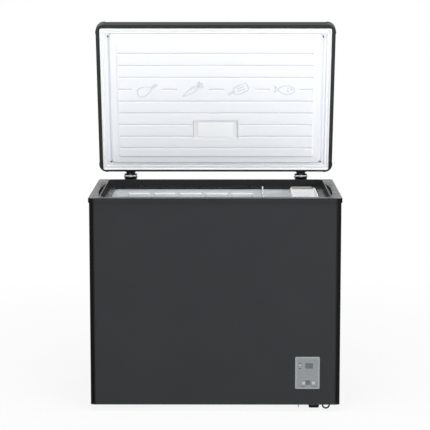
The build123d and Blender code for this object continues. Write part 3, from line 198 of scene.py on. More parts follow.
collarWall = (0.7525, 0.7762)  # heights of the collar's upright walls, under its flange
# painted shade on the rounded front corners of the cabinet and the collar: black mixed in across them
frontBendShade = {
    "across": (0.4285, 0.4365),  # darkening from the first to the second, to either side
    "behind": (front + 0.024, front + 0.044),  # and fading from the first to the second
    "depth": 0.9,
    "shade": "#000000",
}
finishes = {
    # coil-coated steel: flat dark paint with the faint orange peel of a roller coat
    "coilCoatedSteel": {
        "colour": "#2C2D2F", "second": "#323436", "grain": 2.2, "patch": 180.0, "rough": (0.42, 0.5),
        "specular": 0.1, "bump": 0.05, "lift": 0.08, "pattern": "noise",
    },
    # the same sheet folded round the cabinet: blacker along the front bends, painted shade where the
    # rounded corners turn away from the light
    "foldedSteel": {
        "colour": "#2C2D2F", "second": "#323436", "grain": 2.2, "patch": 180.0, "rough": (0.42, 0.5),
        "specular": 0.06, "bump": 0.05, "lift": 0.08, "pattern": "noise",
        "bendShade": frontBendShade,
    },
    # moulded polypropylene with a spark-eroded grain: grey sparkle where light grazes it
    "grainedPolypropylene": {
        "colour": "#242526", "second": "#303133", "grain": 1.6, "patch": 60.0, "rough": (0.24, 0.32),
        "specular": 0.16, "bump": 0.14, "lift": 0.08, "pattern": "speckle",
        # the collar's skirt gets the same painted shade at its front corners, on its upright walls only
        "dull": {"heights": collarWall, "rough": 0.9}, "bendShade": {**frontBendShade, "heights": collarWall},
    },
    # rim of the lid and its corner caps: the same plastic, smoother and blacker
    "smoothPolypropylene": {
        "colour": "#1C1D1E", "second": "#242526", "grain": 1.8, "patch": 40.0, "rough": (0.38, 0.5),
        "specular": 0.35, "bump": 0.08, "lift": 0.1, "pattern": "noise",
    },
    # vacuum-formed polystyrene: bluish white with a low soft sheen, with painted shade on the grooves'
    # upper walls and in the pinch
    "formedPolystyrene": {
        "colour": "#EDF0F5", "second": "#F3F5F8", "grain": 9.0, "patch": 240.0, "rough": (0.3, 0.38),
        "specular": 0.45, "bump": 0.02, "lift": 0.2, "pattern": "noise",
        "paintedShade": {"attribute": "shadeAmount", "shade": "#AEB8C2"},
    },
    # raised lines of the lining: a shade greyer than the sheet, painted shade along the embossed lines
    "shadeGreyPolystyrene": {
        "colour": "#CFD5DC", "second": "#D8DCE2", "grain": 4.0, "patch": 60.0, "rough": (0.34, 0.42),
        "specular": 0.4, "bump": 0.02, "lift": 0.1, "pattern": "noise",
    },
    # stucco-embossed aluminium with a white coat: pale grey, broken up by soft dimples
    "embossedAluminium": {
        "colour": "#D4D7DA", "second": "#E0E3E5", "grain": 4.5, "patch": 160.0, "rough": (0.3, 0.42),
        "specular": 0.5, "bump": 0.22, "lift": 0.3, "pattern": "stucco",
    },
    # soft PVC profile: chalky white
    "softVinyl": {
        "colour": "#EFF0F2", "second": "#F5F6F7", "grain": 1.5, "patch": 70.0, "rough": (0.55, 0.65),
        "specular": 0.35, "bump": 0.04, "lift": 0.1, "pattern": "noise",
    },
    # polyurethane foam: cream, with the cut cells showing
    "polyurethaneFoam": {
        "colour": "#D8C487", "second": "#E6D7A4", "grain": 2.5, "patch": 50.0, "rough": (0.85, 0.95),
        "specular": 0.2, "bump": 0.5, "lift": 0.6, "pattern": "speckle",
    },
    # drawn copper, dulled in patches
    "drawnCopper": {
        "colour": "#B87146", "second": "#8F5634", "grain": 12.0, "patch": 30.0, "rough": (0.28, 0.45),
        "metallic": 1.0, "bump": 0.05, "lift": 0.1, "pattern": "noise",
    },
    # black lacquered steel: hinge channels, compressor can, rear cover
    "blackLacquer": {
        "colour": "#111213", "second": "#191A1B", "grain": 3.0, "patch": 45.0, "rough": (0.32, 0.45),
        "specular": 0.5, "bump": 0.08, "lift": 0.15, "pattern": "noise",
    },
    # the same lacquer on the hinge leaves, with a pale band along the track of the cam: a painted highlight
    # standing in for a steel shine
    "lacquerPaintedHighlight": {
        "colour": "#0C0D0E", "second": "#141516", "grain": 3.0, "patch": 45.0, "rough": (0.32, 0.45),
        "specular": 0.2, "bump": 0.08, "lift": 0.15, "pattern": "noise",
        "highlightBand": {"middle": (0.331, 0.7875), "half": (0.0056, 0.0042), "shade": "#C4C8CB"},
    },
    # zinc-plated steel with its cloudy spangle
    "zincPlate": {
        "colour": "#A9ADB0", "second": "#BFC3C6", "grain": 14.0, "patch": 40.0, "rough": (0.3, 0.48),
        "metallic": 1.0, "bump": 0.04, "lift": 0.1, "pattern": "speckle",
    },
    # glass-filled nylon: black, slightly cloudy
    "filledNylon": {
        "colour": "#070707", "second": "#0D0D0E", "grain": 1.4, "patch": 25.0, "rough": (0.5, 0.62),
        "specular": 0.2, "bump": 0.15, "lift": 0.15, "pattern": "speckle",
    },
    # black rubber with a dusty bloom
    "mouldedRubber": {
        "colour": "#060606", "second": "#0C0C0D", "grain": 1.2, "patch": 20.0, "rough": (0.65, 0.8),
        "specular": 0.2, "bump": 0.15, "lift": 0.1, "pattern": "noise",
    },
    # light grey ABS of the control panel, matt from its etched mould
    "etchedAbs": {
        "colour": "#7A7E81", "second": "#828689", "grain": 1.0, "patch": 40.0, "rough": (0.45, 0.55),
        "specular": 0.35, "bump": 0.1, "lift": 0.08, "pattern": "speckle",
        "border": {
            "middle": (0.3318, 0.1435), "half": (0.0376, 0.0524), "soft": 0.0004, "shade": "#8A8F92",
        },
    },
    # buttons: paler and smoother than the panel
    "paleAbs": {
        "colour": "#A6A8AC", "second": "#B0B2B6", "grain": 1.2, "patch": 12.0, "rough": (0.32, 0.4),
        "specular": 0.45, "bump": 0.04, "lift": 0.05, "pattern": "noise",
    },
    # smoked acrylic: grey, nearly opaque, polished
    "smokedAcrylic": {
        "colour": "#55595C", "second": "#5D6164", "grain": 3.0, "patch": 15.0, "rough": (0.14, 0.2),
        "specular": 0.45, "bump": 0.02, "lift": 0.02, "pattern": "noise",
    },
    # opal polycarbonate lens over the lamp: milky white
    "opalPolycarbonate": {
        "colour": "#F3F6F9", "second": "#F8FAFB", "grain": 3.0, "patch": 60.0, "rough": (0.4, 0.48),
        "specular": 0.5, "bump": 0.03, "lift": 0.2, "pattern": "ribs",
    },
    # white ABS: a cool plain white with a faint sheen
    "whiteAbs": {
        "colour": "#E8EAED", "second": "#EFF0F2", "grain": 1.4, "patch": 50.0, "rough": (0.36, 0.46),
        "specular": 0.4, "bump": 0.05, "lift": 0.08, "pattern": "noise",
    },
    # basket: clean white polypropylene, a little waxy, with painted shade along the top of its hooked ends
    "whitePolypropylene": {
        "colour": "#F7F8F9", "second": "#FCFCFC", "grain": 1.6, "patch": 60.0, "rough": (0.4, 0.5),
        "specular": 0.35, "bump": 0.04, "lift": 0.08, "pattern": "noise",
        "hookShade": {
            "middle": depthMiddle, "beyond": (0.2125, 0.2135), "above": 0.7468, "shade": "#A39E99",
        },
    },
    # glass-epoxy board under green lacquer, with the weave just showing
    "glassEpoxy": {
        "colour": "#1F4D2B", "second": "#2A6338", "grain": 1.6, "patch": 20.0, "rough": (0.35, 0.5),
        "specular": 0.5, "bump": 0.1, "lift": 0.1, "pattern": "ribs",
    },
    # wire dipped in white polyethylene: thick glossy coat
    "dippedWire": {
        "colour": "#E6E8EA", "second": "#F0F1F2", "grain": 6.0, "patch": 30.0, "rough": (0.22, 0.3),
        "specular": 0.5, "bump": 0.06, "lift": 0.2, "pattern": "noise",
    },
    # dark ink of the printed marks: flat grey
    "printedInk": {
        "colour": "#4C5053", "second": "#565A5D", "grain": 0.8, "patch": 8.0, "rough": (0.5, 0.6),
        "specular": 0.3, "bump": 0.05, "lift": 0.02, "pattern": "noise",
    },
    # pale ink of the lighter marks: flat, just lighter than the panel
    "paleInk": {
        "colour": "#B4B8BA", "second": "#BEC2C4", "grain": 0.8, "patch": 8.0, "rough": (0.5, 0.6),
        "specular": 0.3, "bump": 0.05, "lift": 0.02, "pattern": "noise",
    },
}


# grains: the node, its settings, the output used, and what its scale is divided by
grains = {
    "noise": ("ShaderNodeTexNoise", {"Detail": 3.0, "Roughness": 0.55}, "Fac", 1.0),
    "speckle": ("ShaderNodeTexVoronoi", {"Randomness": 1.0}, "Distance", 1.0),
    "stucco": ("ShaderNodeTexVoronoi", {"feature": "SMOOTH_F1", "Smoothness": 0.6}, "Distance", 1.0),
    "ribs": ("ShaderNodeTexWave", {"Distortion": 0.4}, "Fac", 6.28),
}
blend = {
    "grain": 0.6,  # shares of grain and patch in the mix of the two shades
    "patch": 0.5,
    "offset": -0.1,
    "patchRange": (0.3, 0.7),  # values of the patch that give the lowest and highest roughness
}


# shares of another look over part of a piece, from 0 to 1


def bandShare(tree, place, zone):
    # between two heights
    bottom, top = zone["heights"]
    height = addNode(tree, "ShaderNodeSeparateXYZ", links={0: place}).outputs[2]
    settings = {"operation": "COMPARE", 1: (bottom + top) / 2.0, 2: (top - bottom) / 2.0}
    return addNode(tree, "ShaderNodeMath", settings, {0: height}).outputs[0]


def borderShare(tree, place, zone):
    # outside a box about its middle, in x and z
    x, _, z = addNode(tree, "ShaderNodeSeparateXYZ", links={0: place}).outputs
    beyond = []
    for at, middle, half in zip((x, z), zone["middle"], zone["half"]):
        off = addNode(tree, "ShaderNodeMath", {"operation": "SUBTRACT", 1: middle}, {0: at}).outputs[0]
        off = addNode(tree, "ShaderNodeMath", {"operation": "ABSOLUTE"}, {0: off}).outputs[0]
        off = addNode(tree, "ShaderNodeMath", {"operation": "SUBTRACT", 1: half}, {0: off}).outputs[0]
        beyond.append(off)
    pair = {0: beyond[0], 1: beyond[1]}
    outside = addNode(tree, "ShaderNodeMath", {"operation": "MAXIMUM"}, pair).outputs[0]
    settings = {"From Min": -zone["soft"], "From Max": zone["soft"]}
    return addNode(tree, "ShaderNodeMapRange", settings, {"Value": outside}).outputs[0]


def highlightBandShare(tree, place, zone):
    # inside a box about its middle, in x to either side and in z: where the painted highlight goes
    x, _, z = addNode(tree, "ShaderNodeSeparateXYZ", links={0: place}).outputs
    side = addNode(tree, "ShaderNodeMath", {"operation": "ABSOLUTE"}, {0: x}).outputs[0]
    inside = []
    for at, middle, half in zip((side, z), zone["middle"], zone["half"]):
        settings = {"operation": "COMPARE", 1: middle, 2: half}
        inside.append(addNode(tree, "ShaderNodeMath", settings, {0: at}).outputs[0])
    pair = {0: inside[0], 1: inside[1]}
    return addNode(tree, "ShaderNodeMath", {"operation": "MULTIPLY"}, pair).outputs[0]


def hookShadeShare(tree, place, zone):
    # above a height and beyond a distance from the middle, to the front and the back: where the basket's
    # ends get their painted shade
    _, y, z = addNode(tree, "ShaderNodeSeparateXYZ", links={0: place}).outputs
    settings = {"operation": "SUBTRACT", 1: zone["middle"]}
    off = addNode(tree, "ShaderNodeMath", settings, {0: y}).outputs[0]
    off = addNode(tree, "ShaderNodeMath", {"operation": "ABSOLUTE"}, {0: off}).outputs[0]
    start, full = zone["beyond"]
    settings = {"From Min": start, "From Max": full}
    beyond = addNode(tree, "ShaderNodeMapRange", settings, {"Value": off}).outputs[0]
    settings = {"operation": "GREATER_THAN", 1: zone["above"]}
    above = addNode(tree, "ShaderNodeMath", settings, {0: z}).outputs[0]
    pair = {0: beyond, 1: above}
    return addNode(tree, "ShaderNodeMath", {"operation": "MULTIPLY"}, pair).outputs[0]


def bendShadeShare(tree, place, zone):
    # in the two front bends: painted shade growing outwards, and back to none behind them
    x, y, _ = addNode(tree, "ShaderNodeSeparateXYZ", links={0: place}).outputs
    side = addNode(tree, "ShaderNodeMath", {"operation": "ABSOLUTE"}, {0: x}).outputs[0]
    start, full = zone["across"]
    settings = {"From Min": start, "From Max": full}
    share = addNode(tree, "ShaderNodeMapRange", settings, {"Value": side}).outputs[0]
    full, end = zone["behind"]
    settings = {"From Min": end, "From Max": full}
    ahead = addNode(tree, "ShaderNodeMapRange", settings, {"Value": y}).outputs[0]
    limits = [ahead]
    if "heights" in zone:
        limits.append(bandShare(tree, place, zone))
    for limit in limits:
        pair = {0: share, 1: limit}
        share = addNode(tree, "ShaderNodeMath", {"operation": "MULTIPLY"}, pair).outputs[0]
    settings = {"operation": "MULTIPLY", 1: zone["depth"]}
    return addNode(tree, "ShaderNodeMath", settings, {0: share}).outputs[0]


def paintedShadeShare(tree, place, zone):
    # the piece's own painted shade, stored on its points
    return addNode(tree, "ShaderNodeAttribute", {"attribute_name": zone["attribute"]}).outputs["Fac"]


shadedZones = {
    "border": borderShare,
    "highlightBand": highlightBandShare,
    "hookShade": hookShadeShare,
    "bendShade": bendShadeShare,
    "paintedShade": paintedShadeShare,
}


def makeFinish(name, look):
    # grain mixes two shades and lifts the surface, a slow patch noise varies the roughness
    material, tree = emptyTree(name)
    place = addNode(tree, "ShaderNodeTexCoord").outputs["Object"]
    kind, settings, output, divisor = grains[look["pattern"]]
    settings = {**settings, "Scale": 1000.0 / look["grain"] / divisor}
    grain = addNode(tree, kind, settings, {"Vector": place}).outputs[output]
    settings = {"Scale": 1000.0 / look["patch"], "Detail": 2.0, "Roughness": 0.5}
    patch = addNode(tree, "ShaderNodeTexNoise", settings, {"Vector": place}).outputs["Fac"]

    settings = {"operation": "MULTIPLY_ADD", 1: blend["grain"], 2: blend["offset"]}
    amount = addNode(tree, "ShaderNodeMath", settings, {0: grain}).outputs[0]
    settings = {"operation": "MULTIPLY_ADD", 1: blend["patch"]}
    amount = addNode(tree, "ShaderNodeMath", settings, {0: patch, 2: amount}).outputs[0]
    settings = {"data_type": "RGBA", 6: hexLinear(look["colour"]), 7: hexLinear(look["second"])}
    colour = addNode(tree, "ShaderNodeMix", settings, {0: amount}).outputs[2]
    for zone, shareOf in shadedZones.items():
        if zone in look:
            share = shareOf(tree, place, look[zone])
            settings = {"data_type": "RGBA", 7: hexLinear(look[zone]["shade"])}
            colour = addNode(tree, "ShaderNodeMix", settings, {0: share, 6: colour}).outputs[2]

    (fromLow, fromHigh), (low, high) = blend["patchRange"], look["rough"]
    settings = {"From Min": fromLow, "From Max": fromHigh, "To Min": low, "To Max": high}
    roughness = addNode(tree, "ShaderNodeMapRange", settings, {"Value": patch}).outputs[0]
    if "dull" in look:
        share = bandShare(tree, place, look["dull"])
        settings = {3: look["dull"]["rough"]}
        roughness = addNode(tree, "ShaderNodeMix", settings, {0: share, 2: roughness}).outputs[0]

    settings = {"Strength": look["bump"], "Distance": look["lift"] / 1000.0}
    bump = addNode(tree, "ShaderNodeBump", settings, {"Height": grain}).outputs[0]
    settings = {"Metallic": look.get("metallic", 0.0)}
    if "specular" in look:
        settings["Specular IOR Level"] = look["specular"]
    links = {"Base Color": colour, "Roughness": roughness, "Normal": bump}
    shader = addNode(tree, "ShaderNodeBsdfPrincipled", settings, links)
    addNode(tree, "ShaderNodeOutputMaterial", links={"Surface": shader.outputs[0]})
    return material


finish = {name: makeFinish(name, look) for name, look in finishes.items()}
print("finishes made:", len(finish))

wears = {
    "coilCoatedSteel": ("back_panel", "lid_skin"),
    "foldedSteel": ("outer_wrap",),
    "grainedPolypropylene": ("top_collar",),
    "smoothPolypropylene": ("lid_corner_caps", "lid_rim_frame"),
    "formedPolystyrene": ("lid_inner_panel",),
    "embossedAluminium": ("inner_liner",),
    "softVinyl": ("lid_seal",),
    "polyurethaneFoam": ("cabinet_foam", "lid_foam"),
    "drawnCopper": ("evaporator_tube", "suction_pipe", "discharge_pipe", "filter_drier"),
    "blackLacquer": ("condenser_tube", "compressor", "rear_cover", "hinge_body_left", "hinge_body_right"),
    "lacquerPaintedHighlight": ("hinge_leaf_left", "hinge_leaf_right"),
    "zincPlate": (
        "base_pan", "machine_wall", "compressor_tray", "mount_bolts", "hinge_body_screws",
        "hinge_leaf_screws", "hinge_pin_left", "hinge_pin_right", "hinge_spring_left", "hinge_spring_right",
    ),
    "filledNylon": (
        "side_grille", "starter_box", "control_box", "foot_back_left", "foot_back_right",
        "foot_front_left", "foot_front_right", "hinge_plunger_left", "hinge_plunger_right",
    ),
    "mouldedRubber": ("rubber_mounts", "cord_gland", "drain_loop"),
    "etchedAbs": ("control_bezel",),
    "paleAbs": ("button_left", "button_right"),
    "smokedAcrylic": ("display_window", "status_window"),
    "printedInk": ("indicators",),
    "opalPolycarbonate": ("lamp_lens",),
    "whiteAbs": ("lamp_cover", "drain_plug", "drain_pipe"),
    "whitePolypropylene": ("basket",),
    "glassEpoxy": ("control_board", "lamp_board"),
    "dippedWire": ("wire_divider",),
}
for name, wearers in wears.items():
    for wearer in wearers:
        nodes[wearer].data.materials.clear()
        nodes[wearer].data.materials.append(finish[name])
print("solids dressed:", sum(len(w) for w in wears.values()))


# new pieces are grids of points: rows by columns by (x, y, z)


def makePiece(
    name, grid, finishName, body, closeRows=False, closeColumns=False, wall=0.0, stands=()
):
    # quads between neighbouring grid points, wrapping round where a direction is closed
    rows, columns = grid.shape[:2]
    index = np.arange(rows * columns).reshape(rows, columns)
    if closeRows:
        index = np.concatenate([index, index[:1]], axis=0)
    if closeColumns:
        index = np.concatenate([index, index[:, :1]], axis=1)
    faces = np.stack([index[:-1, :-1], index[:-1, 1:], index[1:, 1:], index[1:, :-1]], axis=-1)
    mesh = bpy.data.meshes.new(name)
    mesh.from_pydata(grid.reshape(-1, 3).tolist(), [], faces.reshape(-1, 4).tolist())
    mesh.polygons.foreach_set("use_smooth", np.ones(len(mesh.polygons), dtype=bool))
    mesh.materials.append(finish[finishName])
    piece = bpy.data.objects.new(name, mesh)
    scene.collection.objects.link(piece)
    if wall:
        thick = piece.modifiers.new("wall", "SOLIDIFY")
        thick.thickness = wall
        thick.offset = -1.0
    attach(piece, body)
    if stands:
        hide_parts(*stands)
    return piece


lidPlace = {
    "pivotY": front + 0.609,
    "pivotZ": 0.785,
    "openAngle": 73.33,
    "rimUp": -0.002,  # rim plane of the shut lid, in z from the pins
    "backEdge": -0.0203,  # rear edge of the shut lid, in y from the pins
}


def onLid(x, s, n):
    # x across, s up the lid from its rear edge, n out of the lining, all in metres
    turn = math.radians(lidPlace["openAngle"])
    along = lidPlace["backEdge"] - s
    up = lidPlace["rimUp"] - n
    y = lidPlace["pivotY"] + along * math.cos(turn) + up * math.sin(turn)
    z = lidPlace["pivotZ"] - along * math.sin(turn) + up * math.cos(turn)
    return np.stack(np.broadcast_arrays(x, y, z), axis=-1)


def ramp(t):
    # smooth step from 0 to 1 with flat ends
    t = np.clip(t, 0.0, 1.0)
    return t * t * (3.0 - 2.0 * t)


def insideBox(x, y, halfX, halfY, corner):
    # depth inside a rounded rectangle about the origin, negative outside
    qx = np.abs(x) - (halfX - corner)
    qy = np.abs(y) - (halfY - corner)
    outside = np.hypot(np.maximum(qx, 0.0), np.maximum(qy, 0.0))
    return corner - outside - np.minimum(np.maximum(qx, qy), 0.0)


def ring(halfX, halfY, corner, perCorner=10):
    # points round a rounded rectangle about the origin, anticlockwise
    quarter = math.pi / 2.0
    angle = np.linspace(0.0, quarter, perCorner)[None, :] + np.arange(4)[:, None] * quarter
    signX = np.array([1.0, -1.0, -1.0, 1.0])[:, None]
    signY = np.array([1.0, 1.0, -1.0, -1.0])[:, None]
    x = signX * (halfX - corner) + corner * np.cos(angle)
    y = signY * (halfY - corner) + corner * np.sin(angle)
    return x.reshape(-1), y.reshape(-1)


def gridLines(low, high, spacing, *bundles, apart=0.0002):
    # evenly spaced lines and a bundle of closer ones about each mark, less those that nearly touch
    lines = [np.linspace(low, high, round((high - low) / spacing) + 1)]
    for marks, reach, count in bundles:
        lines += [mark + np.linspace(-reach, reach, count) for mark in marks]
    lines = np.unique(np.concatenate(lines))
    lines = lines[(lines >= low) & (lines <= high)]
    return lines[np.diff(lines, prepend=low - spacing) > apart]


lining = {
    "halfWidth": 0.4368,
    "low": 0.0077,
    "high": 0.5827,
    "flange": -0.004,
    "wall": 0.002,
    "lowRise": 0.0085,
    "lowHalf": 0.4035,
    "lowSpan": (0.0364, 0.5634),
    "lowRamp": 0.005,
    "lowCorner": 0.016,
    "footDepth": 0.0016,  # pinched line at the foot of the low plateau
    "footWidth": 0.0024,
    "highRise": 0.0035,
    "highHalf": 0.3775,
    "highSpan": (0.0626, 0.53),
    "highRamp": 0.007,
    "highCorner": 0.014,
    "grooveFirst": 0.1017,
    "groovePitch": 0.04805,
    "grooveCount": 9,
    "grooveHalf": 0.3705,
    "grooveDepth": 0.0057,
    "grooveWidth": 0.0017,
    "grooveFade": 0.003,  # length over which a groove runs out
    "grooveShade": 0.48,  # how dark the painted shade is on a groove's upper wall
    "shadeUp": 0.0016,
    "pinchShade": 0.42,  # and in the pinch
    "pictureRow": 5,
    "pictureHalf": 0.058,
    "picturePlaces": (-0.26175, -0.08725, 0.08725, 0.26175),
    "lampMiddle": 0.1777,
    "lampHalf": (0.0857, 0.0382),
    "lampDepth": 0.009,
    "lampCorner": 0.004,
    "lampWall": 0.001,  # width of the pocket's wall
    "lampClear": 0.088,  # half width about the lamp where the grooves of its rows stop
    "lampRows": 0.041,  # rows nearer to the lamp's middle than this
    "spacing": 0.012,  # of the grid's lines
    "edgeLines": (0.008, 13),  # reach and count of its closer lines
    "grooveLines": (0.005, 15),
    "endLines": (0.002, 4),
    "lampLines": (0.0025, 6),
}


def makeLining():
    # height over the flange: two rounded plateaus, minus a pinch round the lower one,
    # a soft groove per row and the lamp's pocket
    k = lining
    rowsAt = k["grooveFirst"] + k["groovePitch"] * np.arange(k["grooveCount"])
    places = np.array(k["picturePlaces"])
    lampAcross, lampUp = k["lampHalf"]
    bothSides = np.array([-1.0, 1.0])
    lowEdge, highEdge, fadeEdge = k["lowRamp"] / 2.0, k["highRamp"] / 2.0, k["grooveFade"] / 2.0
    gap = k["pictureHalf"] + fadeEdge
    x = gridLines(
        -k["halfWidth"],
        k["halfWidth"],
        k["spacing"],
        (bothSides * (k["lowHalf"] - lowEdge), *k["edgeLines"]),
        (bothSides * (k["highHalf"] - highEdge), *k["edgeLines"]),
        (bothSides * lampAcross, *k["lampLines"]),
        (bothSides * (k["lampClear"] + fadeEdge), *k["endLines"]),
        (np.concatenate([places - gap, places + gap]), *k["endLines"]),
    )
    s = gridLines(
        k["low"],
        k["high"],
        k["spacing"],
        (np.array(k["lowSpan"]) - bothSides * lowEdge, *k["edgeLines"]),
        (np.array(k["highSpan"]) - bothSides * highEdge, *k["edgeLines"]),
        (rowsAt, *k["grooveLines"]),
        (k["lampMiddle"] + bothSides * lampUp, *k["lampLines"]),
    )
    x, s = np.meshgrid(x, s)

    n = np.full(x.shape, k["flange"])
    inside = {}
    for step in ("low", "high"):
        middle, halfSpan = np.mean(k[step + "Span"]), np.ptp(k[step + "Span"]) / 2.0
        inside[step] = insideBox(x, s - middle, k[step + "Half"], halfSpan, k[step + "Corner"])
        n = n + k[step + "Rise"] * ramp(inside[step] / k[step + "Ramp"])
    pinch = np.exp(-(((inside["low"] + k["footWidth"]) / k["footWidth"]) ** 2))
    n = n - k["footDepth"] * pinch

    whole = ramp((k["grooveHalf"] - np.abs(x)) / k["grooveFade"])
    besideLamp = ramp((np.abs(x) - k["lampClear"]) / k["grooveFade"])
    near = np.min(np.abs(x[..., None] - places), axis=-1)
    besidePicture = ramp((near - k["pictureHalf"]) / k["grooveFade"])
    # painted shade: greyer in the pinch and on each groove's upper wall, where shade falls
    shadeAmount = k["pinchShade"] * pinch
    for row, middle in enumerate(rowsAt):
        reach = whole * (besidePicture if row == k["pictureRow"] else 1.0)
        if abs(middle - k["lampMiddle"]) < k["lampRows"]:
            reach = reach * besideLamp
        groove = reach * np.exp(-(((s - middle) / k["grooveWidth"]) ** 2))
        n = n - k["grooveDepth"] * groove
        upper = reach * np.exp(-(((s - middle - k["shadeUp"]) / k["grooveWidth"]) ** 2))
        shadeAmount = np.maximum(shadeAmount, k["grooveShade"] * upper)
    lampIn = insideBox(x, s - k["lampMiddle"], lampAcross, lampUp, k["lampCorner"])
    n = n - k["lampDepth"] * ramp(lampIn / k["lampWall"] + 0.5)
    sheet = makePiece(
        "lidLining", onLid(x, s, n), "formedPolystyrene", "lid",
        wall=k["wall"], stands=("lid_inner_panel",),
    )
    attribute = finishes["formedPolystyrene"]["paintedShade"]["attribute"]
    stored = sheet.data.attributes.new(attribute, "FLOAT", "POINT")
    stored.data.foreach_set("value", shadeAmount.reshape(-1).astype(np.float32))
    return rowsAt[k["pictureRow"]]


pictureAt = makeLining()
print("lid lining formed")


seal = {
    "halfWidth": 0.4370,
    "span": (0.0078, 0.5827),
    "corner": 0.0075,
    "leastCorner": 0.0012,
    # section: inward from the outer edge and out of the lining, in mm
    "section": (
        (0.0, -3.9), (0.0, -1.0), (0.3, 1.8), (1.2, 4.2), (2.8, 5.5), (4.4, 5.2),
        (5.8, 3.6), (6.8, 1.0), (7.8, -1.2), (9.0, -1.7), (10.6, -0.6), (12.2, 1.0),
        (14.0, 2.2), (15.8, 2.4), (17.2, 1.4), (18.2, -0.8), (18.5, -2.4), (18.5, -3.9),
    ),
}


def makeSeal():
    # the section carried round the lid: one rounded rectangle per point of the section
    middle, halfLength = np.mean(seal["span"]), np.ptp(seal["span"]) / 2.0
    loops = []
    for inward, out in np.array(seal["section"]) / 1000.0:
        corner = max(seal["corner"] - inward, seal["leastCorner"])
        x, s = ring(seal["halfWidth"] - inward, halfLength - inward, corner)
        loops.append(onLid(x, s + middle, out))
    makePiece(
        "lidGasket", np.array(loops), "softVinyl", "lid",
        closeRows=True, closeColumns=True, stands=("lid_seal",),
    )


makeSeal()
print("gasket carried round the lid")


studs = {
    # across and up the lid
    "places": ((-0.405, 0.0430), (0.405, 0.0430), (-0.405, 0.5520), (0.405, 0.5520)),
    "half": 0.0026,
    "sides": 20,
    # section: share of the half width, and out of the lining in mm
    "section": ((1.0, -2.0), (1.0, 4.3), (0.86, 4.9), (0.5, 5.2), (0.001, 5.3)),
}


def makeStuds():
    # push-in studs that pin the lining at its corners: a section turned about its axis
    turn = np.linspace(0.0, 2.0 * math.pi, studs["sides"], endpoint=False)[None, :]
    share, out = np.array(studs["section"]).T[:, :, None]
    for number, (x, s) in enumerate(studs["places"]):
        radius = share * studs["half"]
        grid = onLid(x + radius * np.cos(turn), s + radius * np.sin(turn), out / 1000.0 + 0.0 * turn)
        makePiece("liningStud%d" % number, grid, "printedInk", "lid", closeColumns=True)


makeStuds()
print("studs pushed in")


pictures = {
    "height": 0.0018,
    "halfLine": 0.0017,
    "across": 7,  # points across a line
    "face": 0.0078,
    "scale": 1.18,  # on the sizes below, which are in mm about the middle of each picture
    "round": np.linspace(0.0, 2.0 * math.pi, 96, endpoint=False),
    "along": np.linspace(0.0, 1.0, 40),
}
drumstick = {
    "place": lining["picturePlaces"][0], "tilt": 28.0,
    "meatAt": -9.0, "meatHalf": (24.0, 15.0), "meatEgg": 0.32,
    "knobAt": 32.0, "knobHalf": 4.6, "knobLobe": 1.5, "knobStretch": (0.9, 1.25),
    "shaftFrom": 16.0, "shaftLength": 12.0, "shaftHalf": 2.6, "shaftTaper": 0.8,
}
carrot = {
    "place": lining["picturePlaces"][1], "tilt": 35.0,
    "rootAt": -10.0, "rootHalf": (29.0, 9.5), "rootTaper": 0.75, "rootSlim": 1.4,
    "leafAt": 20.0, "leafHalf": (9.0, 3.4), "leafLeans": (-38.0, 0.0, 38.0),
    "creases": (-4.0, 7.0), "creaseBow": 1.5, "creaseFrom": 1.0, "creaseLength": 5.0,
}
lolly = {
    "place": lining["picturePlaces"][2], "tilt": 24.0,
    "slabAt": 8.0, "slabHalf": (24.0, 14.0), "slabPower": 4.0,
    "bars": (-4.5, 4.5), "barFrom": -5.0, "barLength": 26.0,
    "stickAt": -26.5, "stickHalf": (9.0, 3.0), "stickPower": 6.0,
}
fish = {
    "place": lining["picturePlaces"][3], "tilt": -4.0,
    "bodyAt": 7.0, "bodyHalf": (27.0, 15.5), "bodyBlunt": 0.02,
    "tailAt": -33.0, "tailHalf": 11.0, "tailFork": 6.0, "tailLength": 13.0, "tailRoot": 1.0,
    "eyeAt": (23.0, 3.6), "eyeHalf": 1.8,
    "gillAt": 14.0, "gillBow": 4.0, "gillHalf": 7.0,
}


def drawLine(name, picture, x, s, closed):
    # a line in mm turned and moved to its picture's place, then raised as a half-round bead:
    # the line moved sideways by its own normal
    tilt = math.radians(picture["tilt"])
    size = pictures["scale"] / 1000.0
    x, s = (
        picture["place"] + size * (x * math.cos(tilt) - s * math.sin(tilt)),
        pictureAt + size * (x * math.sin(tilt) + s * math.cos(tilt)),
    )
    if closed:
        dx, ds = np.roll(x, -1) - np.roll(x, 1), np.roll(s, -1) - np.roll(s, 1)
    else:
        dx, ds = np.gradient(x), np.gradient(s)
    length = np.hypot(dx, ds)
    sideX, sideS = -ds / length, dx / length
    turn = np.linspace(math.pi, 0.0, pictures["across"])
    across = pictures["halfLine"] * np.cos(turn)[:, None]
    lift = pictures["height"] * np.sin(turn)[:, None] + pictures["face"]
    grid = onLid(x + across * sideX, s + across * sideS, lift + 0.0 * x)
    # the raised lines are greyed with painted shade
    makePiece(name, grid, "shadeGreyPolystyrene", "lid", closeColumns=closed)


def roundedBox(half, power):
    # superellipse: the higher the power, the squarer
    t = pictures["round"]
    bulge = (np.abs(np.cos(t)) ** power + np.abs(np.sin(t)) ** power) ** (-1.0 / power)
    return half[0] * bulge * np.cos(t), half[1] * bulge * np.sin(t)


def drawDrumstick():
    # an egg drawn out towards the bone, a bone with a knob of two lobes
    k, t, u = drumstick, pictures["round"], pictures["along"]
    x = k["meatAt"] + k["meatHalf"][0] * np.cos(t)
    s = k["meatHalf"][1] * np.sin(t) / (1.0 + k["meatEgg"] * np.cos(t))
    drawLine("pictureDrumstick", k, x, s, True)
    knob = k["knobHalf"] + k["knobLobe"] * np.cos(2.0 * t)
    x = k["knobAt"] + knob * np.cos(t) * k["knobStretch"][0]
    drawLine("pictureBone", k, x, knob * np.sin(t) * k["knobStretch"][1], True)
    x, s = k["shaftFrom"] + k["shaftLength"] * u, k["shaftHalf"] - k["shaftTaper"] * u
    drawLine("pictureBoneShaft", k, x, s, False)
    drawLine("pictureBoneShaftLow", k, x, -s, False)


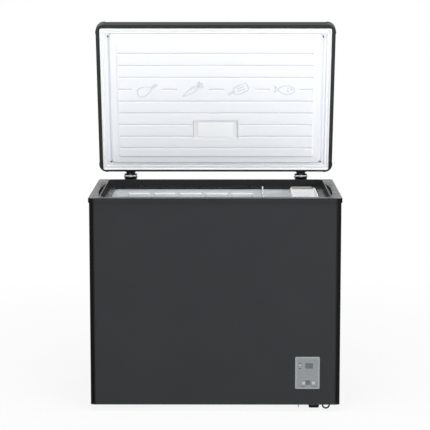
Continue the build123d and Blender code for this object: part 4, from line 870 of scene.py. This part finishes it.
def drawCarrot():
    # an ellipse narrowed towards one end, three leaves, two bowed creases
    k, t, u = carrot, pictures["round"], pictures["along"]
    x = k["rootAt"] + k["rootHalf"][0] * np.cos(t)
    s = k["rootHalf"][1] * np.sin(t) * (1.0 + k["rootTaper"] * np.cos(t)) / k["rootSlim"]
    drawLine("pictureCarrot", k, x, s, True)
    along, across = k["leafHalf"][0] * (1.0 + np.cos(t)), k["leafHalf"][1] * np.sin(t)
    for leaf, lean in enumerate(np.radians(k["leafLeans"])):
        x = k["leafAt"] + along * np.cos(lean) - across * np.sin(lean)
        s = along * np.sin(lean) + across * np.cos(lean)
        drawLine("pictureLeaf%d" % leaf, k, x, s, True)
    for crease, at in enumerate(k["creases"]):
        x = at + k["creaseBow"] * np.sin(math.pi * u)
        drawLine("pictureCrease%d" % crease, k, x, k["creaseFrom"] + k["creaseLength"] * u, False)


def drawLolly():
    # frozen block on a stick: a rounded slab with two bars, and the stick
    k, u = lolly, pictures["along"]
    x, s = roundedBox(k["slabHalf"], k["slabPower"])
    drawLine("pictureLolly", k, k["slabAt"] + x, s, True)
    for bar, at in enumerate(k["bars"]):
        drawLine("pictureLollyBar%d" % bar, k, k["barFrom"] + k["barLength"] * u, at + 0.0 * u, False)
    x, s = roundedBox(k["stickHalf"], k["stickPower"])
    drawLine("pictureStick", k, k["stickAt"] + x, s, True)


def drawFish():
    # a lens-shaped body, a forked tail, an eye and a bowed gill
    k, t, u = fish, pictures["round"], pictures["along"]
    x = k["bodyAt"] + k["bodyHalf"][0] * np.cos(t)
    s = k["bodyHalf"][1] * np.sin(t) * np.sqrt(np.abs(np.sin(t)) + k["bodyBlunt"])
    drawLine("pictureFish", k, x, s, True)
    ends = 2.0 * u - 1.0  # from one tip of the tail to the other
    x = k["tailAt"] + k["tailFork"] * (1.0 - np.abs(ends))
    drawLine("pictureTail", k, x, k["tailHalf"] * ends, False)
    x, s = k["tailAt"] + k["tailLength"] * u, k["tailHalf"] - (k["tailHalf"] - k["tailRoot"]) * u
    drawLine("pictureTailDown", k, x, -s, False)
    drawLine("pictureTailUp", k, x, s, False)
    x, s = k["eyeAt"]
    drawLine("pictureEye", k, x + k["eyeHalf"] * np.cos(t), s + k["eyeHalf"] * np.sin(t), True)
    x = k["gillAt"] - k["gillBow"] * np.sin(math.pi * u)
    drawLine("pictureGill", k, x, k["gillHalf"] * ends, False)


drawDrumstick()
drawCarrot()
drawLolly()
drawFish()
print("pictures embossed")


hem = {
    "halfWidth": 0.4495,
    "halfDepth": 0.287,
    "middle": depthMiddle,
    "corner": 0.014,
    "bottom": 0.0258,
    # section: outward and up, in mm
    "section": ((-0.6, 0.0), (0.35, 0.15), (0.7, 0.9), (0.7, 2.4), (0.35, 3.2), (-0.6, 3.4)),
}


def makeHem():
    # the hem's section carried round the foot of the cabinet, in the blacker rim plastic: a dark line at
    # the foot, painted shade
    loops = []
    for out, up in np.array(hem["section"]) / 1000.0:
        x, y = ring(hem["halfWidth"] + out, hem["halfDepth"] + out, hem["corner"] + out)
        loops.append(np.stack([x, y + hem["middle"], 0.0 * x + hem["bottom"] + up], axis=-1))
    makePiece(
        "cabinetHem", np.array(loops)[:, ::-1][::-1], "smoothPolypropylene", "cabinet",
        closeRows=True, closeColumns=True,
    )


makeHem()
print("hem rolled")


back = {
    "face": front + 0.577,
    "beads": (-0.22, -0.11, 0.0, 0.11, 0.22),
    "beadSpan": (0.36, 0.70),
    "beadHalf": 0.007,
    "beadLift": 0.0028,
    "beadSink": 0.0004,  # its edges under the sheet's face
    "beadEnd": 0.04,  # share of its half length that is rounded off
    "beadPoints": (41, 13),
    "coverFace": front + 0.5784,
    "screwsAcross": (0.2475, 0.4325),
    "screwsUp": (0.042, 0.166, 0.290),
    "screwHalf": 0.0036,
    "screwLift": 0.0019,
    "screwSides": 24,
    # section of a screw's head: shares of its half width and of its lift
    "screw": ((1.0, -0.1), (1.0, 0.45), (0.9, 0.8), (0.6, 0.97), (0.26, 1.0), (0.2, 0.35), (0.001, 0.35)),
}


def makeBack():
    # pressed beads: a half-round ridge that sinks into the sheet at both ends
    k = back
    u, v = (np.linspace(-1.0, 1.0, count) for count in k["beadPoints"])
    u, v = u[:, None], v[None, :]
    z = np.mean(k["beadSpan"]) + u * np.ptp(k["beadSpan"]) / 2.0
    ends = np.clip((np.abs(u) - 1.0 + k["beadEnd"]) / k["beadEnd"], 0.0, 1.0)
    y = k["face"] - k["beadSink"] + k["beadLift"] * np.sqrt(1.0 - ends**2) * np.cos(v * math.pi / 2.0)
    for number, x in enumerate(k["beads"]):
        grid = np.stack(np.broadcast_arrays(x - v * k["beadHalf"], y, z), axis=-1)
        makePiece("backBead%d" % number, grid, "coilCoatedSteel", "cabinet")
    # pan-head screws: the section turned about its axis
    turn = np.linspace(0.0, 2.0 * math.pi, k["screwSides"], endpoint=False)[None, :]
    radius, lift = np.array(k["screw"]).T[:, :, None]
    across, up = k["screwHalf"] * radius * np.cos(turn), k["screwHalf"] * radius * np.sin(turn)
    y = k["coverFace"] + k["screwLift"] * lift
    places = [(x, z) for z in k["screwsUp"] for x in k["screwsAcross"]]
    for number, (x, z) in enumerate(places):
        grid = np.stack(np.broadcast_arrays(x - across, y, z + up), axis=-1)
        makePiece("coverScrew%d" % number, grid, "zincPlate", "cabinet", closeColumns=True)


makeBack()
print("back fitted out")


springs = {
    "places": {"left": -0.331, "right": 0.331},
    "behind": front + 0.606,
    "span": (0.60458, 0.75652),
    "radius": 0.012,
    "wire": 0.00175,
    "turns": 11,
    "perTurn": 24,
    "wireSides": 10,
    "point": 1e-6,  # radius of the wire at its ends
    "fixedEnd": 0.6025,
    "freeEnd": 0.75827,
    "travel": 0.0073,
}


def makeSprings():
    # round wire carried along a helix and drawn to a point at both ends
    k = springs
    low, high = k["span"]
    u = np.linspace(0.0, 1.0, k["perTurn"] * k["turns"] + 1)
    u = np.concatenate([[0.0], u, [1.0]])[:, None]
    v = np.linspace(2.0 * math.pi, 0.0, k["wireSides"], endpoint=False)[None, :]
    wire = np.full(u.shape, k["wire"])
    wire[[0, -1]] = k["point"]
    turn = 2.0 * math.pi * k["turns"] * u
    rise = (high - low) / (2.0 * math.pi * k["turns"])
    out = k["radius"] + wire * np.cos(v)
    lift = wire * np.sin(v) / math.hypot(k["radius"], rise)
    x = out * np.cos(turn) + lift * rise * np.sin(turn)
    y = out * np.sin(turn) - lift * rise * np.cos(turn) + k["behind"]
    z = low + (high - low) * u + lift * k["radius"]
    for side, middle in k["places"].items():
        grid = np.stack([x + middle, y, z], axis=-1)
        coil = makePiece(
            "hingeCoil" + side.capitalize(), grid, "zincPlate", "cabinet",
            closeColumns=True, stands=("hinge_spring_" + side,),
        )
        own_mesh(coil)


makeSprings()
print("hinge springs coiled")


panel = {
    "field": front + 0.0015,
    # printed marks: x, z, width, height in mm, and their ink
    "marks": (
        (305.0, 172.0, 7.0, 3.6, "paleInk"),
        (316.6, 93.6, 22.0, 2.2, "printedInk"), (355.8, 93.2, 26.0, 2.0, "printedInk"),
    ),
    "markLift": 0.00012,
    "markSides": 32,
    "markPower": 3.0,  # the higher, the squarer
    # section: shares of a mark's half size and of its lift
    "mark": ((1.0, -1.5), (0.96, 1.0), (0.6, 1.0), (0.001, 1.0)),
}


def makeMarks():
    # each mark a low pillow with rounded ends: a superellipse shrinking to its middle
    k = panel
    turn = np.linspace(0.0, 2.0 * math.pi, k["markSides"], endpoint=False)[None, :]
    shrink, lift = np.array(k["mark"]).T[:, :, None]
    power = k["markPower"]
    bulge = (np.abs(np.cos(turn)) ** power + np.abs(np.sin(turn)) ** power) ** (-1.0 / power)
    y = k["field"] - k["markLift"] * lift
    for number, (x, z, width, height, ink) in enumerate(k["marks"]):
        across = (x + shrink * bulge * np.cos(turn) * width / 2.0) / 1000.0
        up = (z + shrink * bulge * np.sin(turn) * height / 2.0) / 1000.0
        grid = np.stack(np.broadcast_arrays(across, y, up), axis=-1)
        makePiece("panelMark%d" % number, grid, ink, "cabinet", closeColumns=True)


makeMarks()
print("control panel printed")
